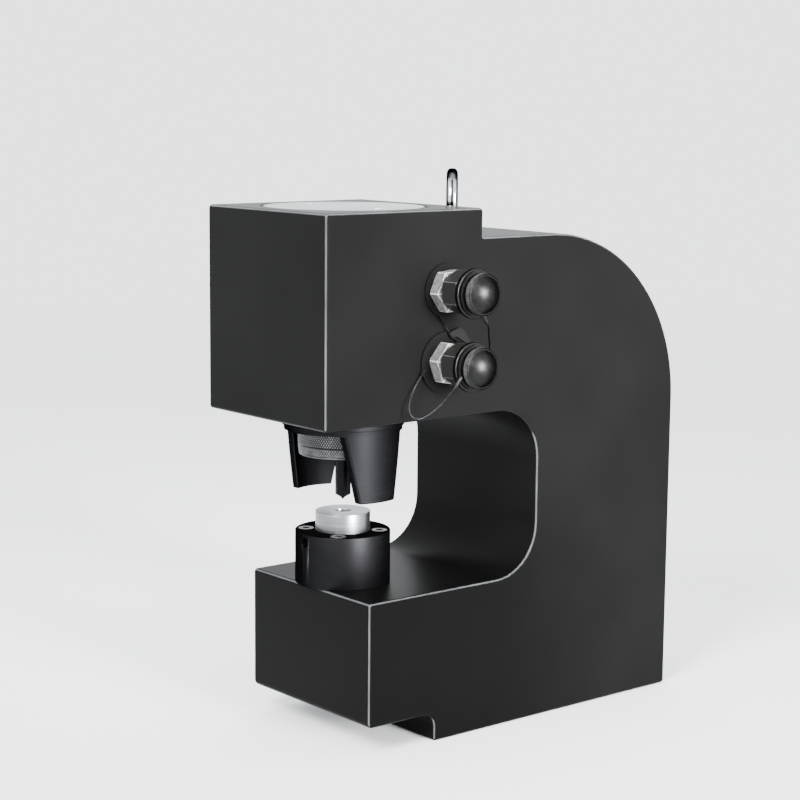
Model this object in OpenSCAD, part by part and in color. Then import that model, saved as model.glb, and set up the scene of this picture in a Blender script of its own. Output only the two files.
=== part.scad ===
// Hydraulic punching head. A thick C-shaped frame holds a double-acting cylinder in its upper arm.
// The ram carries a round punch in a knurled nut, and the lower arm carries the die. Two hose
// couplers with dust caps on wire lanyards stand on one side.
// Millimetres. +Z is up, +X is the coupler side and -Y is the front. The origin is the middle of
// the foot's underside.

/* [Frame] */
// Thickness of the frame from side to side
frame_t = 160; // [150:2:190]
// Length of the foot, front to back
foot_len = 278; // [260:2:320]
// Length of the upright, from the throat's wall to the back
upright_len = 166; // [150:2:190]
// Radius of the upper rear corner
back_r = 152; // [100:2:160]
// Height of the lower arm's top face
arm_top = 128; // [120:1:134]
// Reach of the lower arm in front of the foot
arm_reach = 70; // [60:1:90]
// Room for slugs under the lower arm
arm_lift = 24; // [16:1:30]
// Fillet between the arm's underside and the foot
arm_fillet_r = 11; // [4:1:14]
// Height of the throat, from the lower arm to the head
throat_h = 144; // [138:1:150]
// Radius of the throat's rear corners
throat_r = 44; // [20:2:60]

/* [Head] */
// Reach of the head in front of the foot
head_reach = 115; // [110:1:130]
// Length of the head, front to back
head_len = 162; // [158:1:180]
// Height of the head's step over the frame
head_step = 24; // [20:1:30]
// Distance of the punch axis behind the head's front
axis_setback = 80; // [76:1:84]

/* [Cylinder] */
// Radius of the cylinder's bore
bore_r = 55; // [50:0.5:57]
// Travel of the ram
stroke = 18; // [14:1:20]
// Height of the piston
piston_h = 29; // [26:1:31]
// Height of the piston's nut
piston_nut_h = 10.7; // [9:0.1:12]
// Space under the piston when it is down
lower_space = 16; // [14:1:18]
// Radius of the cover in the head's top
cover_r = 67; // [64:0.5:70]
// Thickness of the cover
cover_t = 60; // [50:1:70]
// Radius of the ram's rod
rod_r = 35; // [33:0.5:36]
// Radial clearance of machined fits
fit_gap = 0.05; // [0.03:0.01:0.08]

/* [Rod gland] */
// Height of the gland
gland_h = 22; // [20:0.5:24]
// Outer radius of the gland
gland_r = 42; // [41:0.5:43]

/* [Stripper] */
// Drop of the stripper's feet below the head
stripper_drop = 70; // [66:1:74]
// Radius of the stripper's legs, outside
stripper_r = 49.5; // [48:0.5:51]
// Radius of the stripper's bore
stripper_bore_r = 42.5; // [41.5:0.5:43.5]
// Radius of the stripper's flange
stripper_flange_r = 51; // [50:0.5:54]
// Height of the stripper's flange
stripper_flange_h = 10; // [8:0.5:12]
// Radius of the stripper's threaded neck
stripper_neck_r = 47; // [46:0.5:48]
// Height of the stripper's threaded neck
stripper_neck_h = 14; // [10:1:16]
// Width of a leg at its foot
leg_foot_w = 36; // [32:1:40]
// Width of a leg at its root
leg_root_w = 58; // [52:1:62]

/* [Punch] */
// Radius of the punch
punch_r = 6.5; // [4:0.25:7]
// Length of the centre point in front of the cutting edge
punch_tip_h = 5; // [3:0.5:6]
// Radius of the punch nut
nut_r = 38; // [36:0.5:39]
// Height of the punch nut
nut_h = 29; // [27:1:31]
// Drop of the nut's bottom below the head
nut_drop = 35; // [32:1:38]
// Radius of the rod's threaded end in the nut
nut_thread_r = 28; // [25:0.5:30]

/* [Die] */
// Room for the work between the stripper and the die
work_gap = 14; // [10:1:16]
// Radius of the die
die_r = 23; // [21:0.5:24]
// Height of the die
die_h = 30; // [26:1:32]
// Height of the die over its holder
die_proud = 16; // [12:1:18]
// Clearance between the punch and the die, at the radius
die_gap = 0.4; // [0.2:0.05:0.6]
// Radius of the die holder
holder_r = 40; // [38.5:0.5:44]

/* [Couplers] */
// Distance of the ports behind the punch axis
port_offset = 41.5; // [38:0.5:43]
// Width across the flats of the adapter's hexagon
adapter_af = 32; // [28:1:34]
// Width across the flats of the coupler's hexagon
coupler_af = 31; // [29:1:32]
// Length of the coupler's hexagon
coupler_hex_l = 19.5; // [16:0.5:22]
// Turn of the upper adapter's hexagon
upper_hex_turn = 35; // [0:5:55]
// Turn of the lower adapter's hexagon
lower_hex_turn = 20; // [0:5:55]
// Radius of the upper port's washer
upper_washer_r = 22; // [20:0.5:26]
// Radius of the lower port's washer
lower_washer_r = 25.5; // [20:0.5:26]
// Gap between the coupler's hexagon and the cap, upper port
upper_cap_gap = 1.8; // [0.3:0.1:2]
// Gap between the coupler's hexagon and the cap, lower port
lower_cap_gap = 0.3; // [0.3:0.1:2]
// Radius of the cap's flange
cap_flange_r = 20.2; // [20:0.1:22]
// Radius of the cap's dome
dome_r = 14; // [12:0.5:15]
// Height of the cap's dome
dome_h = 6; // [4:0.5:10]
// Travel of a coupler's poppet
poppet_travel = 4; // [2:0.5:5]

/* [Lifting eye] */
// Distance of the eye behind the head
eye_gap = 35; // [32:1:60]
// Radius of the eye's hole
eye_hole_r = 15; // [12:0.5:16]
// Turn of the eye on its thread
eye_turn = -41; // [-90:1:90]

/* [Foot bolts] */
// Distance between the foot's bolt holes from side to side
foot_bolt_x = 110; // [90:2:120]
// Distance between the foot's bolt holes, front to back
foot_bolt_y = 220; // [180:2:230]
// Radius of the foot's bolt holes
foot_bolt_r = 5.1; // [4:0.1:6]

/* [Hidden] */
$fn = 96;

// Overrun of every cut past the face that it leaves
cut = 1;
// Gap between parts that stop against each other
stop_gap = 0.3;
// Number of flats of a hexagon
hex_sides = 6;
// Radius of a hexagon's turned end, as a share of half its width
hex_end_share = 1.02;

// Places of the frame, in its side view
foot_front = -foot_len / 2;
foot_back = foot_len / 2;
throat_wall = foot_back - upright_len;
head_front = foot_front - head_reach;
head_rear = head_front + head_len;
arm_front = foot_front - arm_reach;
head_bottom = arm_top + throat_h;
axis_y = head_front + axis_setback;
side_x = frame_t / 2;
foot_bolt_depth = 24;

// Heights in the cylinder
gland_z = head_bottom + stripper_neck_h;
floor_z = gland_z + gland_h;
piston_z = floor_z + lower_space + stroke;
piston_top = piston_z + piston_h;
rod_top = piston_top + piston_nut_h;
cover_z = rod_top + stop_gap;
head_top = cover_z + cover_t;
frame_h = head_top - head_step;
cover_chamfer = 1;
spanner_hole_r = 4;
spanner_hole_h = 10;
spanner_hole_place_r = 45;
cover_ring_rise = 4;
cover_ring_h = 3.5;
cover_ring_depth = 2.8;

// Piston and its rings
piston_spigot_r = 18;
piston_nut_af = 50;
piston_nut_chamfer = 2;
seal_rise = 15;
seal_h = 6;
seal_depth = 4;
guide_rise = 5;
guide_h = 5;
guide_depth = 2;
ring_gap = 0.03;

// Gland and its rings
wiper_rise = 2;
wiper_h = 4.5;
wiper_depth = 4;
rod_seal_rise = 14;
rod_seal_h = 5.5;
rod_seal_depth = 4.5;
gland_ring_rise = 8.5;
gland_ring_h = 3;
gland_ring_depth = 2.4;

// Punch and its nut
nut_z = head_bottom - nut_drop;
nut_top = nut_z + nut_h;
nut_floor_h = 6;
nut_mouth_r = 18;
nut_band_h = 9;
nut_line_h = 1;
nut_line_depth = 0.8;
nut_taper = 1;
collar_h = 6;
collar_z = nut_z + nut_floor_h;
rod_end_z = collar_z + collar_h;
punch_head_r = 12;
punch_neck_h = punch_head_r - punch_r;
cut_edge_z = head_bottom - stripper_drop;
point_r = 1.6;
point_h = 2;

// Stripper
leg_root_drop = 4;
leg_root_z = head_bottom - stripper_flange_h - leg_root_drop;
lock_screw_r = 2;
lock_screw_place_r = (stripper_flange_r + stripper_bore_r) / 2;
lock_socket_r = 1.1;
lock_socket_h = 3;

// Die and its holder
die_top = cut_edge_z - work_gap;
die_z = die_top - die_h;
holder_top = die_top - die_proud;
holder_spigot_r = 22;
holder_spigot_h = 18;
holder_bore_r = 12;
die_land_h = 8;
die_bore_r = punch_r + die_gap;
die_relief_step = 1.6;
slug_r = 15;
holder_bolt_r = 4;
holder_bolt_place_r = 31;
holder_bolt_depth = 20;
holder_head_r = 6.5;
holder_head_h = 8;
holder_socket_af = 6;
holder_socket_h = 4;
holder_bolts = 4;
set_screw_r = 4;
set_screw_l = 12;
set_socket_r = 2.3;
set_socket_h = 4;
set_screw_z = (holder_top + max(die_z, arm_top)) / 2;

// Ports
port_y = axis_y + port_offset;
upper_port_drop = 5;
lower_port_rise = 10;
upper_port_z = cover_z - upper_port_drop;
lower_port_z = floor_z + lower_port_rise;
port_thread_r = 8.3;
port_thread_h = 16;
port_drill_r = 3.5;
port_drill_end = 28;

// Couplers, measured out from the frame's face
washer_h = 2;
adapter_hex_l = 10.5;
adapter_chamfer = 1.2;
adapter_bore_r = 4;
adapter_nose_r = 8;
adapter_nose_l = 4;
adapter_end = washer_h + adapter_hex_l;
neck_gap = 0.5;
coupler_chamfer = 3;
coupler_bore_r = 7.5;
coupler_floor = 4.5;
mouth_r = 6;
nose_r = 13;
nose_l = 10;
mouth_l = 6;
hex_start = adapter_end + neck_gap;
hex_end = hex_start + coupler_hex_l;
nose_end = hex_end + nose_l;
chamber_start = hex_start + adapter_nose_l;
seat_place = nose_end - mouth_l;
poppet_disc_h = 3;
poppet_nose_r = 5.7;
poppet_nose_h = 3;
poppet_tail_r = 4.6;
poppet_front = seat_place - fit_gap;
poppet_back = poppet_front - poppet_disc_h;
poppet_tail_end = chamber_start + poppet_travel + stop_gap;
spring_r = 6;
spring_wire_r = 0.7;
spring_turns = 5;
spring_steps = 14;
spring_seat_gap = 0.15;
wire_sides = 6;
spring_guide = [0, 0, 1];

// Dust cap, measured out from its flange's inner face
cap_flange_h = 3.9;
cap_groove_r = 16.2;
cap_groove_h = 5.7;
cap_collar_r = 17;
cap_collar_h = 3.9;
cap_edge_r = 15.4;
cap_edge_h = 0.9;
dome_base_h = 0.8;
dome_sphere_r = (dome_r * dome_r + dome_h * dome_h) / (2 * dome_h);
cap_ring_rise = 1;
cap_ring_place = cap_flange_h + cap_ring_rise;
cap_ring_h = 1.5;
cap_ring_r = 18.2;
cap_ring_gap = 0.1;

// Lanyards. The points are measured from the port's centre on the frame's face.
lanyard_d = 1.4;
lanyard_sides = 8;
lanyard_parts = 2;
lanyard_guide = [1, 0.3, 0.2];
crimp_r = 1.5;
crimp_gap = 0.1;
base_crimp_l = 7;
ring_crimp_l = 8.5;
upper_route = [
    [2.6, -4, -25.3], [3, -1.2, -30.4], [4, 1.5, -34.2], [4, 4.7, -38.6], [4.2, 8, -41.2],
    [4.6, 12.5, -43.6], [5, 18, -47.5], [6.5, 23.5, -52.5], [9, 27.5, -56.5], [12.5, 29.8, -58.2],
    [17, 30.2, -57], [22, 28.4, -52.5], [27, 24.8, -46], [31.5, 20.2, -39.5], [35.2, 16, -34.6],
    [37.8, 13.6, -30.4], [39.5, 11.4, -26.2], [39.8, 9.3, -23.3]
];
lower_route = [
    [2.3, -26.5, -8.5], [2.9, -31.4, -14], [4, -36.8, -21], [6.2, -41.6, -29], [9.5, -44, -35.5],
    [13.5, -43.4, -39.4], [18, -40.2, -40.2], [23, -34.6, -36.2], [28, -28.6, -29.4],
    [32, -24.6, -22.4], [35.2, -23.4, -18.4], [38.2, -22.5, -15], [38.5, -21.1, -13]
];
tag_edge = 2;
tag_w = 13;
tag_l = 21;
tag_t = 0.8;
tag_bore_r = 0.95;
tag_outline_shares = [[0, 0], [0.16, 0.83], [0.41, 1], [1, 1], [1, 0.77], [0.4, 0.34], [0.24, 0]];

// Lifting eye
eye_y = head_rear + eye_gap;
eye_band = 12;
eye_section_r = 5;
eye_ring_r = eye_hole_r + eye_band / 2;
eye_rise = 26;
eye_collar_r = 15;
eye_collar_h = 6;
eye_neck_h = 5;
eye_thread_r = 6;
eye_thread_h = 20;

// Length of a vector between two points
function unit(v) = v / norm(v);
// Radius of a polygon's corner from its width across the flats
function corner_r(width) = width / 2 / cos(180 / hex_sides);
// Direction of a path at one of its points
function heading(path, i) =
    unit(path[min(i + 1, len(path) - 1)] - path[max(i - 1, 0)]);
// Two directions square to a heading, steadied by a fixed guide direction
function across(v, guide) = unit(cross(v, guide));
// Point of a smooth curve between the second and third of four points, t from 0 to 1
function between(p0, p1, p2, p3, t) =
    (2 * p1 + (p2 - p0) * t + (2 * p0 - 5 * p1 + 4 * p2 - p3) * t * t
        + (3 * p1 - p0 - 3 * p2 + p3) * t * t * t) / 2;
// The whole route, with extra points between its own
function smooth(route, parts) = [
    for (i = [0 : len(route) - 2], k = [0 : parts - 1])
        between(route[max(i - 1, 0)], route[i], route[i + 1], route[min(i + 2, len(route) - 1)],
            k / parts),
    route[len(route) - 1]
];
// Points of a helix along Z
function helix(r, z0, z1, turns, steps) = [
    for (i = [0 : turns * steps])
        [r * cos(360 * i / steps), r * sin(360 * i / steps),
         z0 + (z1 - z0) * i / (turns * steps)]
];

// Tube swept along a path: one ring of points for each point of the path
module tube(path, r, sides, guide) {
    rings = [
        for (i = [0 : len(path) - 1])
            let (v = heading(path, i), a = across(v, guide), b = cross(v, a))
                for (k = [0 : sides - 1])
                    path[i] + r * (a * cos(360 * k / sides) + b * sin(360 * k / sides))
    ];
    last = (len(path) - 1) * sides;
    faces = concat(
        [[for (k = [0 : sides - 1]) sides - 1 - k]],
        [for (i = [0 : len(path) - 2], k = [0 : sides - 1])
            [i * sides + k, i * sides + (k + 1) % sides, (i + 1) * sides + (k + 1) % sides]],
        [for (i = [0 : len(path) - 2], k = [0 : sides - 1])
            [i * sides + k, (i + 1) * sides + (k + 1) % sides, (i + 1) * sides + k]],
        [[for (k = [0 : sides - 1]) last + k]]
    );
    polyhedron(points = rings, faces = [for (f = faces) [for (k = [len(f) - 1 : -1 : 0]) f[k]]]);
}

// Crimp on the end of a wire, a little off its cut face
module crimp(wire_end, direction, length) {
    v = unit(direction);
    translate(wire_end)
        rotate([0, acos(v.z), atan2(v.y, v.x)])
            translate([0, 0, crimp_gap]) cylinder(r = crimp_r, h = length);
}

// Ring with a square section
module ring(outer_r, inner_r, z, h) {
    translate([0, 0, z])
        difference() {
            cylinder(r = outer_r, h = h);
            translate([0, 0, -cut]) cylinder(r = inner_r, h = h + 2 * cut);
        }
}

// Hexagonal prism with its corners turned off to a cone at both ends
module hex_nut(width, h, turn, chamfer) {
    end_r = width / 2 * hex_end_share;
    far_r = 2 * corner_r(width) - end_r;
    intersection() {
        rotate([0, 0, turn]) cylinder(r = corner_r(width), h = h, $fn = hex_sides);
        rotate_extrude()
            polygon([
                [0, 0], [end_r, 0], [far_r, 2 * chamfer],
                [far_r, h - 2 * chamfer], [end_r, h], [0, h]
            ]);
    }
}

// Piece between a square corner and its arc, in the corner's own quarter
module corner_web(r, over) {
    difference() {
        square(r + over);
        circle(r = r);
    }
}

module on_axis() {
    translate([0, axis_y, 0]) children();
}

// Places a coupler's pieces with their Z along the port
module at_port(z) {
    translate([side_x, port_y, z]) rotate([0, 90, 0]) children();
}

module at_holder_bolts() {
    for (i = [0 : holder_bolts - 1])
        rotate([0, 0, (i + 0.5) * 360 / holder_bolts])
            translate([holder_bolt_place_r, 0, 0]) children();
}

// Side view of the frame, with the front to the left
module frame_outline() {
    difference() {
        union() {
            translate([foot_front, 0]) square([foot_len, arm_top]);
            translate([arm_front, arm_lift]) square([foot_len, arm_top - arm_lift]);
            translate([throat_wall, 0]) square([upright_len, frame_h]);
            translate([head_front, head_bottom]) square([foot_back - head_front, frame_h - head_bottom]);
            translate([head_front, head_bottom]) square([head_len, head_top - head_bottom]);
            for (side = [0, 1])
                translate([throat_wall - throat_r, side ? head_bottom - throat_r : arm_top + throat_r])
                    mirror([0, 1 - side]) corner_web(throat_r, 0);
            translate([foot_front - arm_fillet_r, arm_lift - arm_fillet_r])
                corner_web(arm_fillet_r, 0);
        }
        translate([foot_back - back_r, frame_h - back_r]) corner_web(back_r, cut);
    }
}

module frame() {
    color("#26262a") difference() {
        rotate([90, 0, 90]) translate([0, 0, -side_x])
            linear_extrude(height = frame_t) frame_outline();
        on_axis() {
            translate([0, 0, floor_z]) cylinder(r = bore_r, h = head_top - floor_z);
            translate([0, 0, cover_z]) cylinder(r = cover_r, h = cover_t + cut);
            translate([0, 0, head_bottom - cut])
                cylinder(r = stripper_neck_r + fit_gap, h = stripper_neck_h + cut);
            translate([0, 0, head_bottom])
                cylinder(r = gland_r + fit_gap, h = floor_z - head_bottom + cut);
            translate([0, 0, arm_lift - cut]) cylinder(r = slug_r, h = arm_top - arm_lift + 2 * cut);
            translate([0, 0, arm_top - holder_spigot_h])
                cylinder(r = holder_spigot_r + fit_gap, h = holder_spigot_h + cut);
            translate([0, 0, arm_top - holder_bolt_depth])
                at_holder_bolts() cylinder(r = holder_bolt_r, h = holder_bolt_depth + cut);
        }
        for (z = [upper_port_z, lower_port_z]) {
            translate([side_x - port_thread_h, port_y, z]) rotate([0, 90, 0])
                cylinder(r = port_thread_r, h = port_thread_h + cut);
            translate([port_drill_end, port_y, z]) rotate([0, 90, 0])
                cylinder(r = port_drill_r, h = side_x - port_drill_end);
        }
        translate([0, eye_y, frame_h - eye_thread_h - cut])
            cylinder(r = eye_thread_r, h = eye_thread_h + 2 * cut);
        for (x = [-1, 1], y = [-1, 1])
            translate([x * foot_bolt_x / 2, y * foot_bolt_y / 2, -cut])
                cylinder(r = foot_bolt_r, h = foot_bolt_depth + cut);
    }
}

module cylinder_cover() {
    r = cover_r - fit_gap;
    color("#85878a") on_axis() difference() {
        translate([0, 0, cover_z]) union() {
            cylinder(r = r, h = cover_t - cover_chamfer);
            translate([0, 0, cover_t - cover_chamfer])
                cylinder(r1 = r, r2 = r - cover_chamfer, h = cover_chamfer);
        }
        ring(cover_r + cut, r - cover_ring_depth, cover_z + cover_ring_rise, cover_ring_h);
        for (side = [-1, 1])
            translate([side * spanner_hole_place_r, 0, head_top - spanner_hole_h])
                cylinder(r = spanner_hole_r, h = spanner_hole_h + cut);
    }
}

module cover_o_ring() {
    r = cover_r - fit_gap;
    color("#1a1a1a") on_axis()
        ring(cover_r - ring_gap, r - cover_ring_depth, cover_z + cover_ring_rise, cover_ring_h);
}

module piston() {
    r = bore_r - fit_gap;
    color("#8d9094") on_axis() difference() {
        ring(r, piston_spigot_r + fit_gap, piston_z, piston_h);
        ring(bore_r + cut, r - seal_depth, piston_z + seal_rise, seal_h);
        ring(bore_r + cut, r - guide_depth, piston_z + guide_rise, guide_h);
    }
}

module piston_seal() {
    color("#3a4a6a") on_axis()
        ring(bore_r - ring_gap, bore_r - fit_gap - seal_depth, piston_z + seal_rise, seal_h);
}

module piston_guide_ring() {
    color("#7a5a3a") on_axis()
        ring(bore_r - ring_gap, bore_r - fit_gap - guide_depth, piston_z + guide_rise, guide_h);
}

module piston_nut() {
    color("#9a9da0") on_axis() translate([0, 0, piston_top]) difference() {
        hex_nut(piston_nut_af, piston_nut_h, 0, piston_nut_chamfer);
        translate([0, 0, -cut]) cylinder(r = piston_spigot_r + fit_gap, h = piston_nut_h + 2 * cut);
    }
}

module piston_rod() {
    color("#b9bcc0") on_axis() {
        translate([0, 0, rod_end_z]) cylinder(r = nut_thread_r, h = nut_top - rod_end_z);
        translate([0, 0, nut_top]) cylinder(r = rod_r, h = piston_z - nut_top);
        translate([0, 0, piston_z]) cylinder(r = piston_spigot_r, h = rod_top - piston_z);
    }
}

module rod_gland() {
    bore = rod_r + fit_gap;
    color("#b08d4f") on_axis() difference() {
        ring(gland_r, bore, gland_z, gland_h);
        ring(bore + wiper_depth, rod_r - cut, gland_z + wiper_rise, wiper_h);
        ring(bore + rod_seal_depth, rod_r - cut, gland_z + rod_seal_rise, rod_seal_h);
        ring(gland_r + cut, gland_r - gland_ring_depth, gland_z + gland_ring_rise, gland_ring_h);
    }
}

module gland_o_ring() {
    color("#1a1a1a") on_axis()
        ring(gland_r + ring_gap, gland_r - gland_ring_depth, gland_z + gland_ring_rise, gland_ring_h);
}

module rod_seal() {
    color("#3a4a6a") on_axis()
        ring(rod_r + fit_gap + rod_seal_depth, rod_r + ring_gap, gland_z + rod_seal_rise, rod_seal_h);
}

module rod_wiper() {
    color("#1f3d2a") on_axis()
        ring(rod_r + fit_gap + wiper_depth, rod_r + ring_gap, gland_z + wiper_rise, wiper_h);
}

// Legs seen from the side: a trapezium, narrow at the foot
module leg_outline() {
    rise = leg_root_z - cut_edge_z;
    polygon([
        [-leg_foot_w / 2, 0], [leg_foot_w / 2, 0],
        [leg_root_w / 2, rise], [-leg_root_w / 2, rise]
    ]);
}

module stripper() {
    color("#45464a") on_axis() difference() {
        union() {
            translate([0, 0, head_bottom]) cylinder(r = stripper_neck_r, h = stripper_neck_h);
            translate([0, 0, head_bottom - stripper_flange_h])
                cylinder(r = stripper_flange_r, h = stripper_flange_h);
            translate([0, 0, leg_root_z]) cylinder(r = stripper_r, h = leg_root_drop);
            intersection() {
                translate([0, 0, cut_edge_z]) cylinder(r = stripper_r, h = leg_root_z - cut_edge_z);
                translate([-stripper_r - cut, 0, cut_edge_z]) rotate([90, 0, 90])
                    linear_extrude(height = 2 * (stripper_r + cut)) leg_outline();
            }
        }
        translate([0, 0, cut_edge_z - cut])
            cylinder(r = stripper_bore_r, h = head_bottom + stripper_neck_h - cut_edge_z + 2 * cut);
        for (side = [-1, 1])
            translate([0, side * lock_screw_place_r, leg_root_z - cut])
                cylinder(r = lock_screw_r, h = stripper_flange_h + leg_root_drop + cut);
    }
}

module stripper_lock_screws() {
    low = head_bottom - stripper_flange_h;
    color("#2c2c2e") on_axis() for (side = [-1, 1])
        translate([0, side * lock_screw_place_r, low]) difference() {
            cylinder(r = lock_screw_r - fit_gap, h = stripper_flange_h);
            translate([0, 0, -cut])
                cylinder(r = lock_socket_r, h = lock_socket_h + cut, $fn = hex_sides);
        }
}

module punch_nut() {
    color("#77797c") on_axis() difference() {
        union() {
            translate([0, 0, nut_z])
                cylinder(r1 = nut_r - nut_taper, r2 = nut_r, h = nut_band_h - nut_line_h);
            translate([0, 0, nut_z + nut_band_h - nut_line_h])
                cylinder(r = nut_r - nut_line_depth, h = nut_line_h);
            translate([0, 0, nut_z + nut_band_h]) cylinder(r = nut_r, h = nut_h - nut_band_h);
        }
        translate([0, 0, nut_z - cut]) cylinder(r = nut_mouth_r, h = nut_floor_h + 2 * cut);
        translate([0, 0, collar_z]) cylinder(r = nut_thread_r + fit_gap, h = nut_h);
    }
}

module punch_collar() {
    color("#55575a") on_axis() translate([0, 0, collar_z]) difference() {
        translate([0, 0, fit_gap]) cylinder(r = nut_thread_r - fit_gap, h = collar_h - fit_gap);
        translate([0, 0, -cut]) cylinder(r = punch_r + fit_gap, h = collar_h + 2 * cut);
        translate([0, 0, collar_h - punch_neck_h])
            cylinder(r1 = punch_r + fit_gap, r2 = punch_head_r + fit_gap, h = punch_neck_h);
    }
}

module punch() {
    color("#2f3033") on_axis() {
        translate([0, 0, rod_end_z - punch_neck_h])
            cylinder(r1 = punch_r, r2 = punch_head_r, h = punch_neck_h);
        translate([0, 0, cut_edge_z])
            cylinder(r = punch_r, h = rod_end_z - punch_neck_h - cut_edge_z);
        translate([0, 0, cut_edge_z - punch_tip_h + point_h])
            cylinder(r1 = point_r, r2 = punch_r, h = punch_tip_h - point_h);
        translate([0, 0, cut_edge_z - punch_tip_h]) cylinder(r1 = 0, r2 = point_r, h = point_h);
    }
}

module die_holder() {
    color("#3c3d40") on_axis() difference() {
        union() {
            translate([0, 0, arm_top]) cylinder(r = holder_r, h = holder_top - arm_top);
            translate([0, 0, arm_top - holder_spigot_h])
                cylinder(r = holder_spigot_r, h = holder_spigot_h);
        }
        translate([0, 0, arm_top - holder_spigot_h - cut])
            cylinder(r = holder_bore_r, h = holder_top - arm_top + holder_spigot_h + 2 * cut);
        translate([0, 0, die_z]) cylinder(r = die_r + fit_gap, h = die_h);
        at_holder_bolts() {
            translate([0, 0, arm_top - cut])
                cylinder(r = holder_bolt_r + fit_gap, h = holder_top - arm_top + 2 * cut);
            translate([0, 0, holder_top - holder_head_h])
                cylinder(r = holder_head_r + fit_gap, h = holder_head_h + cut);
        }
        translate([0, 0, set_screw_z]) rotate([90, 0, 0])
            cylinder(r = set_screw_r, h = holder_r + cut);
    }
}

module die_holder_screws() {
    shank_h = holder_top - holder_head_h - arm_top + holder_bolt_depth;
    color("#2c2c2e") on_axis() at_holder_bolts() difference() {
        union() {
            translate([0, 0, arm_top - holder_bolt_depth + fit_gap])
                cylinder(r = holder_bolt_r - fit_gap, h = shank_h);
            translate([0, 0, holder_top - holder_head_h])
                cylinder(r = holder_head_r, h = holder_head_h);
        }
        translate([0, 0, holder_top - holder_socket_h])
            cylinder(r = corner_r(holder_socket_af), h = holder_socket_h + cut, $fn = hex_sides);
    }
}

module die() {
    color("#6a6c70") on_axis() difference() {
        translate([0, 0, die_z]) cylinder(r = die_r, h = die_h);
        translate([0, 0, die_z - cut])
            cylinder(r = die_bore_r + die_relief_step, h = die_h - die_land_h + cut);
        translate([0, 0, die_z]) cylinder(r = die_bore_r, h = die_h + cut);
    }
}

module die_set_screw() {
    color("#2c2c2e") on_axis() translate([0, -die_r - fit_gap, set_screw_z]) rotate([90, 0, 0])
        difference() {
            cylinder(r = set_screw_r - fit_gap, h = set_screw_l);
            translate([0, 0, set_screw_l - set_socket_h])
                cylinder(r = set_socket_r, h = set_socket_h + cut, $fn = hex_sides);
        }
}

// Section of the eye's ring: a band with round edges
module eye_section() {
    flat = eye_band / 2 - eye_section_r;
    for (side = [-1, 1]) translate([eye_ring_r + side * flat, 0]) circle(r = eye_section_r);
    translate([eye_ring_r - flat, -eye_section_r]) square([2 * flat, 2 * eye_section_r]);
}

module lifting_eye() {
    color("#c4c6c8") translate([0, eye_y, frame_h]) {
        translate([0, 0, -eye_thread_h])
            cylinder(r = eye_thread_r - fit_gap, h = eye_thread_h + eye_collar_h);
        cylinder(r = eye_collar_r, h = eye_collar_h);
        difference() {
            translate([0, 0, eye_collar_h])
                cylinder(r1 = eye_collar_r, r2 = eye_section_r, h = eye_neck_h);
            translate([0, 0, eye_rise]) rotate([90, 0, eye_turn])
                cylinder(r = eye_hole_r, h = 2 * eye_collar_r, center = true);
        }
        translate([0, 0, eye_rise]) rotate([90, 0, eye_turn])
            rotate_extrude() eye_section();
    }
}

// Washer on a port, with the crimp that holds the lanyard's end
module port_washer(z, r, route) {
    color("#1d1d1f") {
        at_port(z) ring(r, port_thread_r, 0, washer_h);
        translate([side_x, port_y, z])
            crimp(route[0], route[0] - route[1], base_crimp_l);
    }
}

module port_adapter(z, turn) {
    nose_h = neck_gap + adapter_nose_l;
    color("#c9c9c4") at_port(z) difference() {
        union() {
            translate([0, 0, cut - port_thread_h])
                cylinder(r = port_thread_r - fit_gap, h = port_thread_h + washer_h);
            translate([0, 0, washer_h]) hex_nut(adapter_af, adapter_hex_l, turn, adapter_chamfer);
            translate([0, 0, adapter_end - cut]) cylinder(r = adapter_nose_r, h = nose_h + cut);
        }
        translate([0, 0, -port_thread_h])
            cylinder(r = adapter_bore_r, h = port_thread_h + adapter_end + nose_h + cut);
    }
}

module coupler_body(z) {
    color("#202023") at_port(z) difference() {
        union() {
            translate([0, 0, hex_start]) hex_nut(coupler_af, coupler_hex_l, 0, coupler_chamfer);
            translate([0, 0, hex_end - cut]) cylinder(r = nose_r, h = nose_l + cut);
        }
        translate([0, 0, hex_start - cut])
            cylinder(r = adapter_nose_r + fit_gap, h = coupler_floor + cut);
        translate([0, 0, hex_start]) cylinder(r = coupler_bore_r, h = seat_place - hex_start);
        translate([0, 0, hex_start]) cylinder(r = mouth_r, h = nose_end - hex_start + cut);
    }
}

module poppet(z) {
    color("#b9bcc0") at_port(z) {
        translate([0, 0, poppet_back])
            cylinder(r = coupler_bore_r - fit_gap, h = poppet_disc_h);
        translate([0, 0, poppet_front]) cylinder(r = poppet_nose_r, h = poppet_nose_h);
        translate([0, 0, poppet_tail_end])
            cylinder(r = poppet_tail_r, h = poppet_back - poppet_tail_end);
    }
}

module poppet_spring(z) {
    inset = spring_wire_r + spring_seat_gap;
    turns = helix(spring_r, chamber_start + inset, poppet_back - inset, spring_turns, spring_steps);
    color("#a0a3a6") at_port(z) tube(turns, spring_wire_r, wire_sides, spring_guide);
}

// Place of a cap's flange along the port
function cap_place(cap_gap) = hex_end + cap_gap;

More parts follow.
